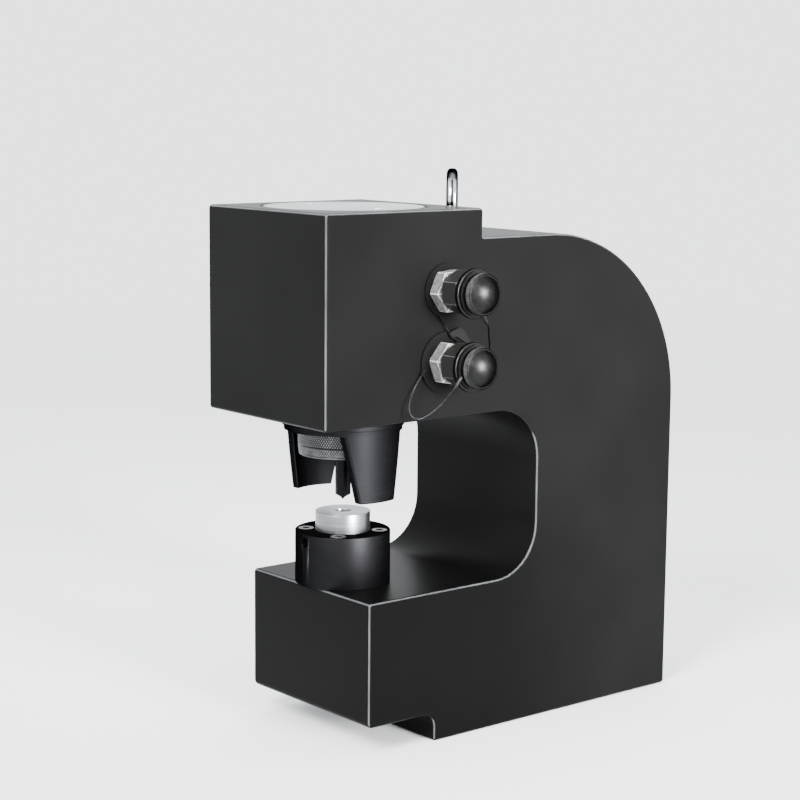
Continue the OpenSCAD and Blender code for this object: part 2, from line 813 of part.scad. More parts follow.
module dust_cap(z, cap_gap) {
    collar_start = cap_flange_h + cap_groove_h;
    edge_start = collar_start + cap_collar_h;
    base_start = edge_start + cap_edge_h;
    dome_start = base_start + dome_base_h;
    color("#1b1b1d") at_port(z) translate([0, 0, cap_place(cap_gap)]) difference() {
        union() {
            cylinder(r = cap_flange_r, h = cap_flange_h);
            translate([0, 0, cap_flange_h]) cylinder(r = cap_groove_r, h = cap_groove_h);
            translate([0, 0, collar_start]) cylinder(r = cap_collar_r, h = cap_collar_h);
            translate([0, 0, edge_start]) cylinder(r1 = cap_collar_r, r2 = cap_edge_r, h = cap_edge_h);
            translate([0, 0, base_start]) cylinder(r = dome_r, h = dome_base_h);
            intersection() {
                translate([0, 0, dome_start + dome_h - dome_sphere_r]) sphere(r = dome_sphere_r);
                translate([0, 0, dome_start]) cylinder(r = dome_r, h = dome_h + cut);
            }
        }
        translate([0, 0, -cut]) cylinder(r = nose_r + fit_gap, h = nose_l + cut);
    }
}

module cap_ring(z, cap_gap, route) {
    last = len(route) - 1;
    color("#3a3b3e") {
        at_port(z)
            ring(cap_ring_r, cap_groove_r + cap_ring_gap, cap_place(cap_gap) + cap_ring_place, cap_ring_h);
        translate([side_x, port_y, z])
            crimp(route[last], route[last] - route[last - 1], ring_crimp_l);
    }
}

module cap_lanyard(z, route) {
    color("#8a8c90") translate([side_x, port_y, z])
        tube(smooth(route, lanyard_parts), lanyard_d / 2, lanyard_sides, lanyard_guide);
}

module lanyard_tag() {
    from = upper_route[tag_edge];
    along = upper_route[tag_edge + 1] - from;
    turn = atan2(along.z, along.y);
    color("#a9aaac") translate([side_x, port_y, upper_port_z]) translate(from)
        rotate([turn, 0, 0]) difference() {
            union() {
                rotate([90, 0, 90]) translate([0, 0, -tag_t / 2]) linear_extrude(height = tag_t)
                    polygon([for (p = tag_outline_shares) [p[0] * tag_l, p[1] * tag_w]]);
                rotate([-90, 0, 0]) cylinder(r = crimp_r, h = norm(along));
            }
            rotate([-90, 0, 0]) translate([0, 0, -tag_l])
                cylinder(r = tag_bore_r, h = 3 * tag_l);
        }
}

frame();
cylinder_cover();
cover_o_ring();
piston();
piston_seal();
piston_guide_ring();
piston_nut();
piston_rod();
rod_gland();
gland_o_ring();
rod_seal();
rod_wiper();
stripper();
stripper_lock_screws();
punch_nut();
punch_collar();
punch();
die_holder();
die_holder_screws();
die();
die_set_screw();
lifting_eye();
port_washer(upper_port_z, upper_washer_r, upper_route);  // upper_port_washer
port_adapter(upper_port_z, upper_hex_turn);  // upper_port_adapter
coupler_body(upper_port_z);  // upper_coupler_body
poppet(upper_port_z);  // upper_poppet
poppet_spring(upper_port_z);  // upper_poppet_spring
dust_cap(upper_port_z, upper_cap_gap);  // upper_dust_cap
cap_ring(upper_port_z, upper_cap_gap, upper_route);  // upper_cap_ring
cap_lanyard(upper_port_z, upper_route);  // upper_cap_lanyard
lanyard_tag();
port_washer(lower_port_z, lower_washer_r, lower_route);  // lower_port_washer
port_adapter(lower_port_z, lower_hex_turn);  // lower_port_adapter
coupler_body(lower_port_z);  // lower_coupler_body
poppet(lower_port_z);  // lower_poppet
poppet_spring(lower_port_z);  // lower_poppet_spring
dust_cap(lower_port_z, lower_cap_gap);  // lower_dust_cap
cap_ring(lower_port_z, lower_cap_gap, lower_route);  // lower_cap_ring
cap_lanyard(lower_port_z, lower_route);  // lower_cap_lanyard
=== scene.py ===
"""Hydraulic punching machine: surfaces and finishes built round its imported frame, in metres."""

import functools
import math

import bpy
import numpy as np
from bpy.props import FloatProperty, FloatVectorProperty, IntProperty, PointerProperty
from mathutils import Matrix, Vector


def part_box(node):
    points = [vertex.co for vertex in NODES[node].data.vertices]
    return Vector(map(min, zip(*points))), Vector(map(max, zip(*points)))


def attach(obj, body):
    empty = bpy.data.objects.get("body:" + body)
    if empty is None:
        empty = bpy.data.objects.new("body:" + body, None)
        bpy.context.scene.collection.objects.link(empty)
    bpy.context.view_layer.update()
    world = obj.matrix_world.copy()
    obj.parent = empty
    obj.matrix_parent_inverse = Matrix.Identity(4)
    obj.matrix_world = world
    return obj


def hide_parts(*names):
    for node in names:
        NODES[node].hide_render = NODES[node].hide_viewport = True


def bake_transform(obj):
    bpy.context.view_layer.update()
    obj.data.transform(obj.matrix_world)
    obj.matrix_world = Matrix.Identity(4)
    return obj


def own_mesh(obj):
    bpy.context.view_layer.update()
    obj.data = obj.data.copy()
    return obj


bl_info = {
    "name": "Hydraulic Punching Machine",
    "version": (1, 0, 0),
    "blender": (4, 5, 0),
    "location": "3D Viewport > Sidebar > Punching Machine",
    "description": "Builds the surfaces and finishes of a C-frame hydraulic punching machine",
    "category": "Add Mesh",
}

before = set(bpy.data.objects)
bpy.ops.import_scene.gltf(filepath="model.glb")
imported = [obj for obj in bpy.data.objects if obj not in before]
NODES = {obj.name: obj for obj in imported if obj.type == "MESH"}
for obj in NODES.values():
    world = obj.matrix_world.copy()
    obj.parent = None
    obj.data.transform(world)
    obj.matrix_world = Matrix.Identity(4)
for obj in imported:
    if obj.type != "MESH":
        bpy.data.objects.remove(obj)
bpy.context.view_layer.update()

# Places read from the frame
FRAME_LOW, FRAME_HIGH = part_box("frame")
SIDE_X = FRAME_HIGH.x
PUNCH_LOW, PUNCH_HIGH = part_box("punch")
AXIS_Y = (PUNCH_LOW.y + PUNCH_HIGH.y) / 2
STRIPPER_LOW, STRIPPER_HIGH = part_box("stripper")
NUT_LOW, NUT_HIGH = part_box("punch_nut")
COVER_LOW, COVER_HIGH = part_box("cylinder_cover")
EYE_LOW, EYE_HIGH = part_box("lifting_eye")
EYE_Y = (EYE_LOW.y + EYE_HIGH.y) / 2

# Body: places along y, then heights, then the radii of its outline's small arcs
ARM_FRONT, FOOT_FRONT, HEAD_REAR, THROAT_REAR = -0.209, -0.139, -0.092, -0.027
ARM_LIFT, ARM_TOP, HEAD_BOTTOM, REAR_TOP = 0.024, 0.128, 0.272, 0.418
ARM_TOE_ARC, FOOT_ARC, STEP_ARC = 0.005, 0.011, 0.0012
MOUTH_CHAMFER = 0.0025

# Holes in the body: radii, with a clearance where a part goes in, and places
CYLINDER_R, GLAND_R, GLAND_TOP, NECK_BORE_R, NECK_TOP = 0.055, 0.04205, 0.308, 0.04705, 0.286
CHUTE_R, SPIGOT_R, SPIGOT_BOTTOM = 0.015, 0.02205, 0.11
HOLDER_SCREW_R, HOLDER_SCREW_CIRCLE, HOLDER_SCREW_END = 0.0042, 0.031, 0.106
FOOT_HOLE_R, FOOT_HOLE_DEPTH, FOOT_HOLE_X, FOOT_HOLE_Y = 0.0051, 0.024, 0.055, 0.11
EYE_HOLE_R, PORT_HOLE_R, PORT_HOLE_DEPTH = 0.0062, 0.0083, 0.0165
# How far a cutter reaches past the surface that it opens, and the same for the mouth's chamfer
CUT_PAST, CHAMFER_PAST = 0.007, 0.002

# Stripper: its ring and its two legs
STRIPPER_BORE_R, LEG_R, FLANGE_R, NECK_R = 0.0425, 0.0495, 0.051, 0.047
NECK_H, FLANGE_H, LEG_LAP = 0.014, 0.01, 0.004
LOCK_SCREW_R, LOCK_SCREW_Y = 0.00205, 0.04675
LEG_HALF_TIP, LEG_HALF_ROOT, LEG_TALL = 0.018, 0.029, 0.056
LEG_CORNER, LEG_FOOT_ARC, LEG_EVEN_FROM = 0.0012, 0.001, 0.004

# Punch nut and punch, then the knurl's columns for each diamond, its rows and its slant
NUT_BORE_R, NUT_THREAD_R, NUT_FLOOR, NUT_GROOVE = 0.018, 0.02805, 0.006, 0.0086
NUT_CHAMFER, NUT_TAPER = 0.0012, 0.001
PUNCH_R, PUNCH_HEAD_R, PUNCH_HEAD_H = 0.0065, 0.012, 0.0055
POINT_R, POINT_H = 0.0016, 0.002
KNURL_COLUMNS, KNURL_ROWS, KNURL_SLANT = 7, 84, 1.55

# Lifting eye: its ring's middle radius, section and turn, its collar and its shank
RING_R, RING_BAND, RING_THICK, RING_SQUARE, EYE_TURN = 0.021, 0.006, 0.005, 2.6, math.radians(-41)
COLLAR_R, COLLAR_H, SHANK_R = 0.015, 0.006, 0.00595

# Couplers: widths across flats, the turn of each adapter's hexagon in degrees, then the poppet
# springs' turns and wire radius, and how far a poppet goes in
ADAPTER_FLATS, COUPLER_FLATS = 0.032, 0.031
ADAPTER_TURNS = {"upper": 35, "lower": 20}
SPRING_TURNS, SPRING_WIRE, POPPET_TRAVEL = 5, 0.0007, 0.004

# Dust caps: radii, then places along the port, then the teeth's depths
CAP_BORE_R, CAP_RIM_R, CAP_GROOVE_R, CAP_COLLAR_R, DOME_R = 0.01305, 0.0202, 0.0162, 0.017, 0.0149
CAP_RIM_END, CAP_BORE_END, COLLAR_START, COLLAR_END = 0.0039, 0.01, 0.0096, 0.0136
DOME_START, DOME_H, CAP_TALL = 0.0144, 0.0068, 0.0212
RIM_TEETH, COLLAR_TEETH = 0.00025, 0.0003

# Lanyards: points of each wire's route, in millimetres from its port's middle, then its strands
ROUTES = {
    "upper": [
        [2.6, -4, -25.3], [3, -1.2, -30.4], [4, 1.5, -34.2], [4, 4.7, -38.6], [4.2, 8, -41.2],
        [4.6, 12.5, -43.6], [5, 18, -47.5], [6.5, 23.5, -52.5], [9, 27.5, -56.5], [12.5, 29.8, -58.2],
        [17, 30.2, -57], [22, 28.4, -52.5], [27, 24.8, -46], [31.5, 20.2, -39.5], [35.2, 16, -34.6],
        [37.8, 13.6, -30.4], [39.5, 11.4, -26.2], [39.8, 9.3, -23.3]],
    "lower": [
        [2.3, -26.5, -8.5], [2.9, -31.4, -14], [4, -36.8, -21], [6.2, -41.6, -29], [9.5, -44, -35.5],
        [13.5, -43.4, -39.4], [18, -40.2, -40.2], [23, -34.6, -36.2], [28, -28.6, -29.4],
        [32, -24.6, -22.4], [35.2, -23.4, -18.4], [38.2, -22.5, -15], [38.5, -21.1, -13]],
}
STRANDS, STRAND_DEPTH = 6, 0.16

# Camera: its place, its angles in degrees and its lens in millimetres
CAMERA_PLACE = (1.2960, -1.1837, 0.5327)
CAMERA_AZIMUTH, CAMERA_ELEVATION, CAMERA_ROLL, CAMERA_LENS = 50.433, 8.694, 0.495, 89.92

# Soft boxes: name, place, point lit, width, height, power and the angle that its grid lets out
SOFT_BOXES = (
    ("front_softbox", (0.6, -1.5, 1.4), (0, -0.2, 0.42), 0.6, 0.8, 14, 60),
    ("side_softbox", (1.5, 0.0, 0.6), (0.08, -0.02, 0.38), 0.6, 0.8, 14, 36),
    ("top_softbox", (-0.1, 0.2, 2.4), (0, 0, 0.2), 1.2, 1.2, 30, 180))
# Floor: half its width, its depth under the part, and where it starts and ends to fade into the sky
FLOOR_REACH, FLOOR_DROP, FADE_START, FADE_END, SKY = 60.0, 0.0002, 0.8, 3.5, "#f2f4f6"

# Arcs: the longest step on a large one, and the radius under which one counts as an edge
ARC_STEP, EDGE_ARC = 0.006, 0.0045
# Points of a CAD mesh nearer than this are one
MERGE_DISTANCE = 0.000002


# Colours and nodes


def linear(hex_colour):
    """An sRGB hex colour as linear red, green, blue and alpha."""
    parts = [int(hex_colour[i:i + 2], 16) / 255 for i in (1, 3, 5)]
    return [c / 12.92 if c <= 0.04045 else ((c + 0.055) / 1.055) ** 2.4 for c in parts] + [1.0]


def add_node(tree, kind, inputs=None, **settings):
    """Adds a node with its settings. Each input is a value or another node's output."""
    node = tree.nodes.new(kind)
    for name, value in settings.items():
        setattr(node, name, value)
    for name, value in (inputs or {}).items():
        if isinstance(value, bpy.types.NodeSocket):
            tree.links.new(value, node.inputs[name])
        else:
            node.inputs[name].default_value = value
    return node


def start_material(centre=(0, 0, 0), scale=(1, 1, 1)):
    """An empty material, its shader and Object coordinates moved to a centre and scaled."""
    material = bpy.data.materials.new("finish")
    material.use_nodes = True
    tree = material.node_tree
    tree.nodes.clear()
    shader = add_node(tree, "ShaderNodeBsdfPrincipled")
    add_node(tree, "ShaderNodeOutputMaterial", {0: shader.outputs[0]})
    spot = add_node(tree, "ShaderNodeTexCoord")
    centred = add_node(tree, "ShaderNodeVectorMath", {0: spot.outputs["Object"], 1: centre},
                       operation="SUBTRACT")
    scaled = add_node(tree, "ShaderNodeVectorMath", {0: centred.outputs[0], 1: scale},
                      operation="MULTIPLY")
    return material, tree, shader, scaled.outputs[0]


def grained(tree, place, size, first, second, detail=3.0, spread=(0.3, 0.7)):
    """A tone that wanders between two colours, in noise whose grains are about the given size, in
    metres. Returns the tone and the noise, which runs from 0 to 1."""
    noise = add_node(tree, "ShaderNodeTexNoise", {"Vector": place, "Scale": 1 / size, "Detail": detail})
    share = add_node(tree, "ShaderNodeMapRange", {0: noise.outputs[0], 1: spread[0], 2: spread[1]})
    tone = add_node(tree, "ShaderNodeMix", {0: share.outputs[0], 6: linear(first), 7: linear(second)},
                    data_type="RGBA")
    return tone.outputs[2], noise.outputs[0]


def rubbed_and_lit(tree, place, tone, edge_colour, low, high, patch, most):
    """A tone moved towards an edge colour where the surface's own edge attribute goes from low to high, in
    broken patches of a size in metres, up to a greatest share. Some finishes use it for wear and others
    for
    painted light: painted highlights, painted reflections and a painted lit side. Returns the new tone and
    the share."""
    edge = add_node(tree, "ShaderNodeAttribute", attribute_name="edge")
    patches = add_node(tree, "ShaderNodeTexNoise", {"Vector": place, "Scale": 1 / patch, "Detail": 3.0})
    reach = add_node(tree, "ShaderNodeMapRange", {
        0: patches.outputs[0], 1: 0.3, 2: 0.6, 3: most / 2, 4: most})
    share = add_node(tree, "ShaderNodeMapRange", {
        0: edge.outputs["Fac"], 1: low, 2: high, 3: 0.0, 4: reach.outputs[0]})
    worn_and_lit = add_node(tree, "ShaderNodeMix", {0: share.outputs[0], 6: tone, 7: linear(edge_colour)},
                    data_type="RGBA")
    return worn_and_lit.outputs[2], share.outputs[0]


def textured(tree, shader, pattern, smoothest, roughest, depth):
    """Lets a pattern vary the roughness between two values, and stand out by a depth in metres."""
    gloss = add_node(tree, "ShaderNodeMapRange", {
        0: pattern, 1: 0.25, 2: 0.75, 3: smoothest, 4: roughest})
    bump = add_node(tree, "ShaderNodeBump", {"Height": pattern, "Distance": depth, "Strength": 0.5})
    tree.links.new(gloss.outputs[0], shader.inputs["Roughness"])
    tree.links.new(bump.outputs[0], shader.inputs["Normal"])


def one_grain(grain, gloss, depth, rub_and_light=None, lines=None, **values):
    """A finish whose colour, gloss and bump follow one grain. The grain and gloss are what grained and
    textured take, and the edge tone is what the edge tone helper above takes: wear in some finishes,
    painted light in others. With lines, the grain is drawn out round the tools' axis into turning lines by
    that scale. The other values go to the shader's own sockets."""
    stretch = {"centre": (0, AXIS_Y, 0), "scale": (lines, lines, 1)} if lines else {}
    material, tree, shader, place = start_material(**stretch)
    tone, pattern = grained(tree, place, *grain)
    if rub_and_light:
        tone = rubbed_and_lit(tree, place, tone, *rub_and_light)[0]
    tree.links.new(tone, shader.inputs["Base Color"])
    sockets = {"metallic": "Metallic", "specular": "Specular IOR Level", "tint": "Specular Tint"}
    for word, value in values.items():
        shader.inputs[sockets[word]].default_value = value
    textured(tree, shader, pattern, *gloss, depth)
    return material


# Shapes. Each one is a pair: an array of points and a list of faces.


def full_turn(steps):
    """Angles of one turn in equal steps."""
    return np.arange(steps) * 2 * np.pi / steps


def ranged_array(values, low, high):
    """Values mapped so that low gives 0 and high gives 1."""
    return np.clip((values - low) / (high - low), 0, 1)


def grid_faces(rows, columns, close_rows=False):
    """Faces of a grid of points whose rows are rings: each quad joins a point to the next in its row
    and to the row above."""
    r, c = np.meshgrid(np.arange(rows if close_rows else rows - 1), np.arange(columns), indexing="ij")
    up, right = (r + 1) % rows, (c + 1) % columns
    quads = np.stack([r * columns + c, r * columns + right, up * columns + right, up * columns + c], -1)
    return quads.reshape(-1, 4).tolist()


def capped_faces(rows, columns):
    """Faces of a grid with one flat face over its first row and one over its last."""
    last = (rows - 1) * columns
    ends = [list(range(columns - 1, -1, -1)), list(range(last, last + columns))]
    return grid_faces(rows, columns) + ends


def turned(radii, heights):
    """A surface turned round an axis: x = radius cos a, y = radius sin a, z = height. Each row of radii
    is one ring, and may change with the angle a. Rows of radius 0 at both ends close the shape with
    poles, and otherwise the profile is closed on itself."""
    rows, columns = radii.shape
    angle = full_turn(columns)
    tall = np.broadcast_to(np.reshape(heights, (rows, -1)), radii.shape)
    points = np.stack([radii * np.cos(angle), radii * np.sin(angle), tall], -1)
    if radii[0].max() > 0:
        return points.reshape(-1, 3), grid_faces(rows, columns, close_rows=True)
    inner = points[1:-1].reshape(-1, 3)
    c = np.arange(columns)
    after = (c + 1) % columns
    low, high, top = len(inner), len(inner) + 1, (rows - 3) * columns
    fans = [np.stack([np.full(columns, low), after, c], -1),
            np.stack([top + c, top + after, np.full(columns, high)], -1)]
    poles = np.stack([points[0, 0], points[-1, 0]])
    return np.concatenate([inner, poles]), grid_faces(rows - 2, columns) + np.concatenate(fans).tolist()


def without_poles(values, columns):
    """Mask values of a turned shape whose first and last rows are poles."""
    grid = values.reshape(-1, columns)
    return np.concatenate([grid[1:-1].ravel(), [grid[0, 0], grid[-1, 0]]])


def rounded(corners, closed=True, arc_steps=4):
    """An outline through corners (a, b, radius): each corner is replaced by the arc that touches both
    of its sides. Returns the points and a mask that rises to 1 in the middle of each small arc."""
    corners = np.array(corners, float)
    points, edge = [], []
    for i, (a, b, radius) in enumerate(corners):
        corner = np.array([a, b])
        if radius == 0 or (not closed and i in (0, len(corners) - 1)):
            points.append(corner[None])
            edge.append([0.0])
            continue
        before = corners[i - 1, :2] - corner
        after = corners[(i + 1) % len(corners), :2] - corner
        before, after = before / np.linalg.norm(before), after / np.linalg.norm(after)
        half = math.acos(np.clip(before @ after, -1, 1)) / 2
        middle = before + after
        centre = corner + middle / np.linalg.norm(middle) * radius / math.sin(half)
        spokes = np.stack([before, after]) * radius / math.tan(half) + corner - centre
        turn = math.pi - 2 * half
        share = np.linspace(0, 1, max(arc_steps, int(turn * radius / ARC_STEP)) + 1)[:, None]
        # Points of the arc, by turning the first spoke towards the last
        points.append(centre + (np.sin((1 - share) * turn) * spokes[0]
                                + np.sin(share * turn) * spokes[1]) / math.sin(turn))
        edge.append(np.sin(share[:, 0] * np.pi) * (radius < EDGE_ARC))
    return np.concatenate(points), np.concatenate(edge)


def lathed(corners, columns, closed=True):
    """A shape turned from rounded corners (radius, height, rounding), and its edge mask by rows."""
    points, edge = rounded(corners, closed, 3)
    return turned(np.repeat(points[:, :1], columns, 1), points[:, 1]), edge


def inset(outline, depth):
    """The outline moved inwards by a depth, along the mitre of its two sides at each point."""
    ahead = np.roll(outline, -1, 0) - outline
    ahead /= np.linalg.norm(ahead, axis=1)[:, None]
    normal = np.stack([ahead[:, 1], -ahead[:, 0]], 1)
    mitre = normal + np.roll(normal, 1, 0)
    mitre /= (mitre * normal).sum(1)[:, None]
    return outline - mitre * depth


def extruded(outline, edge, half_width, rounding, steps=4):
    """A plate: an outline (counter-clockwise) carried from -half_width to half_width, with both rims
    rounded by a quarter circle. Points are (outline a, outline b, place), with a mask for the rims."""
    turn = np.linspace(0, np.pi / 2, steps + 1)
    depth = rounding * (1 - np.cos(turn))
    place = half_width - rounding + rounding * np.sin(turn)
    rims, corner = np.sin(2 * turn), np.cos(turn)
    depth, rims, corner = (np.concatenate([half[::-1], half]) for half in (depth, rims, corner))
    place = np.concatenate([-place[::-1], place])
    rings = np.stack([inset(outline, d) for d in depth])
    points = np.concatenate([rings, np.broadcast_to(place[:, None, None], rings.shape[:2] + (1,))], 2)
    mask = np.maximum(rims[:, None], corner[:, None] * edge)
    return (points.reshape(-1, 3), capped_faces(len(depth), len(outline))), mask


def swept(path, radius, sides, guide, twist_turns=0.0, strands=0, strand_depth=0.0):
    """A round wire along a path. The section's radius swells strands times round, and the swellings
    wind round the wire twist_turns times along it. The ends are closed by flat faces."""
    tangent = np.gradient(path, axis=0)
    tangent /= np.linalg.norm(tangent, axis=1)[:, None]
    side = np.cross(tangent, guide)
    side /= np.linalg.norm(side, axis=1)[:, None]
    up = np.cross(tangent, side)
    angle = full_turn(sides)
    wind = np.linspace(0, twist_turns * 2 * np.pi, len(path))[:, None]
    swell = radius * (1 - strand_depth * np.abs(np.sin(strands / 2 * (angle + wind))))
    rings = path[:, None] + swell[..., None] * (
        side[:, None] * np.cos(angle)[:, None] + up[:, None] * np.sin(angle)[:, None])
    return rings.reshape(-1, 3), capped_faces(len(path), sides)


def smooth_path(points, parts):
    """A smooth curve through every point: each stretch is the cubic whose slopes at its ends are half
    the line between the neighbours, cut into parts."""
    ends = np.concatenate([points[:1], points, points[-1:]])
    p0, p1, p2, p3 = (ends[i:len(ends) - 3 + i, None] for i in range(4))
    t = (np.arange(parts) / parts)[None, :, None]
    curve = (2 * p1 + (p2 - p0) * t + (2 * p0 - 5 * p1 + 4 * p2 - p3) * t ** 2
             + (3 * p1 - p0 - 3 * p2 + p3) * t ** 3) / 2
    return np.concatenate([curve.reshape(-1, 3), points[-1:]])


def hexed(profile, across_flats, turn, columns=288):
    """A hexagon bar cut by a turned profile, and its edge mask. The hexagon's radius at an angle is half
    its width divided by a high-power mean of the cosines towards its six flats, which rounds its corners
    a little, and the shape keeps the smaller of the hexagon and the profile."""
    points, _ = rounded(profile, False, 3)
    # Extra rings where the profile slopes, so that the chamfers' arcs are drawn
    steps = np.linalg.norm(np.diff(points, axis=0), axis=1)
    slope = np.abs(np.diff(points, axis=0)).min(1) > 0.0004
    parts = np.where(slope, np.maximum(1, (steps / 0.0003).astype(int)), 1)
    share = np.concatenate([i + np.arange(n) / n for i, n in enumerate(parts)] + [[len(parts)]])
    fine = np.stack([np.interp(share, np.arange(len(points)), values) for values in points.T], 1)
    flats = np.radians(turn + 30 + 60 * np.arange(6))[:, None]
    power = 90
    cosines = np.clip(np.cos(full_turn(columns) - flats), 0, 1)
    hexagon = across_flats / 2 / (cosines ** power).sum(0) ** (1 / power)
    radii = np.minimum(hexagon, fine[:, :1])
    # The mask rises at the hexagon's corners, away from the bore, and along the chamfers' arcs, where the
    # finishes paint pale lines as painted highlights
    corner = ranged_array(hexagon / (across_flats / 2), 1.136, 1.1455)
    rims = ranged_array(np.abs(hexagon - fine[:, :1]), 0.0005, 0.0)
    return turned(radii, fine[:, 1]), np.maximum(corner * (radii > 0.0135), rims * 0.8).ravel()


def rod_shape(radius, low, high, columns=64):
    """A plain closed rod, for cutting holes."""
    radii = np.repeat(np.array([[0], [radius], [radius], [0]], float), columns, 1)
    return turned(radii, np.array([low, low, high, high]))


def joined(shapes):
    """Several shapes as one."""
    starts = np.cumsum([0] + [len(points) for points, _ in shapes])
    faces = [[n + int(start) for n in face] for (_, own), start in zip(shapes, starts) for face in own]
    return np.concatenate([points for points, _ in shapes]), faces


def upright(shape, centre_x=0.0, centre_y=AXIS_Y):
    """A turned shape set upright, on the tools' axis or another."""
    points, faces = shape
    return points + np.array([centre_x, centre_y, 0]), faces


def port_centre(side):
    """Middle of a port on the frame's side face."""
    low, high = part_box(side + "_poppet")
    return np.array([SIDE_X, (low.y + high.y) / 2, (low.z + high.z) / 2])


def on_port(shape, side):
    """A turned shape laid along a port: its height runs out from the side face."""
    points, faces = shape
    out = np.stack([points[:, 2], points[:, 1], -points[:, 0]], 1)
    return out + port_centre(side), faces


# Pieces


def piece(name, shape, body, material, node=None, edge=None, sharp=None, level=True):
    """Makes a mesh piece that rides on a body and may stand for a node, its edge mask and
    the angle in degrees over which its edges stay sharp. Flat faces keep a level look."""
    points, faces = shape
    mesh = bpy.data.meshes.new(name)
    mesh.from_pydata(np.asarray(points).tolist(), [], faces)
    if edge is not None:
        attribute = mesh.attributes.new("edge", "FLOAT", "POINT")
        attribute.data.foreach_set("value", np.asarray(edge, np.float32).ravel())
    mesh.shade_smooth()
    mesh.materials.append(material)
    if sharp:
        mesh.set_sharp_from_angle(angle=math.radians(sharp))
    made = bpy.data.objects.new(name, mesh)
    bpy.context.scene.collection.objects.link(made)
    if level:
        made.modifiers.new("level_normals", "WEIGHTED_NORMAL").keep_sharp = True
    if body:
        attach(made, body)
    if node:
        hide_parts(node)
    return made


def cut_away(made, shapes, sharp):
    """Cuts closed shapes out of a piece, for good, and marks its sharp edges again."""
    tool = piece("cutter", joined(shapes), None, made.data.materials[0], level=False)
    cut = made.modifiers.new("cut", "BOOLEAN")
    cut.operation, cut.solver, cut.object = "DIFFERENCE", "EXACT", tool
    settled = bpy.data.meshes.new_from_object(made.evaluated_get(bpy.context.evaluated_depsgraph_get()))
    made.modifiers.remove(cut)
    old, made.data = made.data, settled
    bpy.data.meshes.remove(old)
    bpy.data.meshes.remove(tool.data)
    made.data.name = made.name
    made.data.set_sharp_from_angle(angle=math.radians(sharp))


def dress(material, *nodes, edge=0.0):
    """Gives CAD nodes a material. With an edge size they are merged and their rims rounded."""
    for name in nodes:
        node = NODES[name]
        node.data.materials.clear()
        node.data.materials.append(material)
        if edge:
            node.modifiers.new("merge", "WELD").merge_threshold = MERGE_DISTANCE
            rim = node.modifiers.new("rims", "BEVEL")
            rim.width, rim.segments, rim.limit_method = edge, 2, "ANGLE"
            rim.angle_limit = math.radians(40)
            rim.harden_normals = False


# Finishes


def made_once(make):
    """Names a finish's material after its function, and finds it again when it is there already."""
    @functools.wraps(make)
    def finish():
        found = bpy.data.materials.get(make.__name__)
        if not found:
            found = make()
            found.name = make.__name__
        return found
    return finish


@made_once
def satin_black_paint():
    """Sprayed satin enamel on machined steel: a soft even sheen with a very fine orange peel, rubbed
    through to bright metal along the sharpest edges, and darkened by painted shade near the tools and the
    slug chute."""
    look = bpy.context.scene.punching_finishes
    material, tree, shader, place = start_material()
    drift, _ = grained(tree, place, 0.09, "#e2e2e2", "#ffffff", 2)
    paint = add_node(tree, "ShaderNodeMix", {0: 1.0, 6: list(look.paint_colour), 7: drift},
                     data_type="RGBA", blend_type="MULTIPLY")
    # Painted shade: the paint is darkened to deep black near the tools and the slug chute, standing in for
    # the shade low at the front and in the throat
    away = add_node(tree, "ShaderNodeVectorMath", {0: place, 1: (0, AXIS_Y + 0.03, 0.05)},
                    operation="DISTANCE")
    painted_shade = add_node(tree, "ShaderNodeMapRange", {
        0: away.outputs["Value"], 1: 0.1, 2: 0.25, 3: 0.7, 4: 0.0}, interpolation_type="SMOOTHSTEP")
    shaded = add_node(tree, "ShaderNodeMix", {0: painted_shade.outputs[0], 6: paint.outputs[2], 7: linear("#020202")},
                     data_type="RGBA")
    worn_and_lit, rub_and_light = rubbed_and_lit(tree, place, shaded.outputs[2], "#77797c", 0.7, 1.0, 0.03, 0.6)
    tree.links.new(worn_and_lit, shader.inputs["Base Color"])
    tree.links.new(rub_and_light, shader.inputs["Metallic"])
    shader.inputs["Specular IOR Level"].default_value = 0.025
    # Orange peel, waves about 1.2 mm across
    peel = add_node(tree, "ShaderNodeTexNoise", {"Vector": place, "Scale": 1 / 0.0012, "Detail": 3.0})
    textured(tree, shader, peel.outputs[0], look.paint_roughness - 0.03, look.paint_roughness + 0.03,
             0.00003)
    return material


@made_once
def surface_ground_steel():
    """Surface-ground steel: pale, with straight grinding lines that spread its reflections across
    them. The real lines are a tenth of a millimetre apart, and these are wider so that they show."""
    material, tree, shader, place = start_material()
    drawn_out = add_node(tree, "ShaderNodeVectorMath", {0: place, 1: (1, 0.02, 0.02)},
                         operation="MULTIPLY")
    tone, lines = grained(tree, drawn_out.outputs[0], 0.0026, "#76787a", "#b2b4b6")
    # Painted shade: the rim's last millimetre is darkened, standing in for the shade in the gap round the
    # cover
    level = add_node(tree, "ShaderNodeVectorMath", {0: place, 1: (1, 1, 0)}, operation="MULTIPLY")
    radius = add_node(tree, "ShaderNodeVectorMath", {0: level.outputs[0], 1: (0, AXIS_Y, 0)},
                      operation="DISTANCE")
    rim = add_node(tree, "ShaderNodeMapRange", {
        0: radius.outputs["Value"], 1: COVER_HIGH.x - 0.0016, 2: COVER_HIGH.x - 0.0008})
    shaded = add_node(tree, "ShaderNodeMix", {0: rim.outputs[0], 6: tone, 7: linear("#1c1c1d")},
                     data_type="RGBA")
    tree.links.new(shaded.outputs[2], shader.inputs["Base Color"])
    shader.inputs["Metallic"].default_value = 1.0
    textured(tree, shader, lines, 0.34, 0.5, 0.00002)
    return material


@made_once
def blackened_steel():
    """Turned and hot-blackened tool steel: dark grey with a satin sheen, fine turning lines round the
    axis, and a little paler along its edges. The oxide is matt at a glance, so the rim stays dark."""
    return one_grain((0.0006, "#151516", "#1b1b1d"), (0.42, 0.5), 0.000006,
                     rub_and_light=("#4a4c4e", 0.5, 1.0, 0.02, 0.2), lines=0.03, metallic=1.0,
                     tint=linear("#202020"))


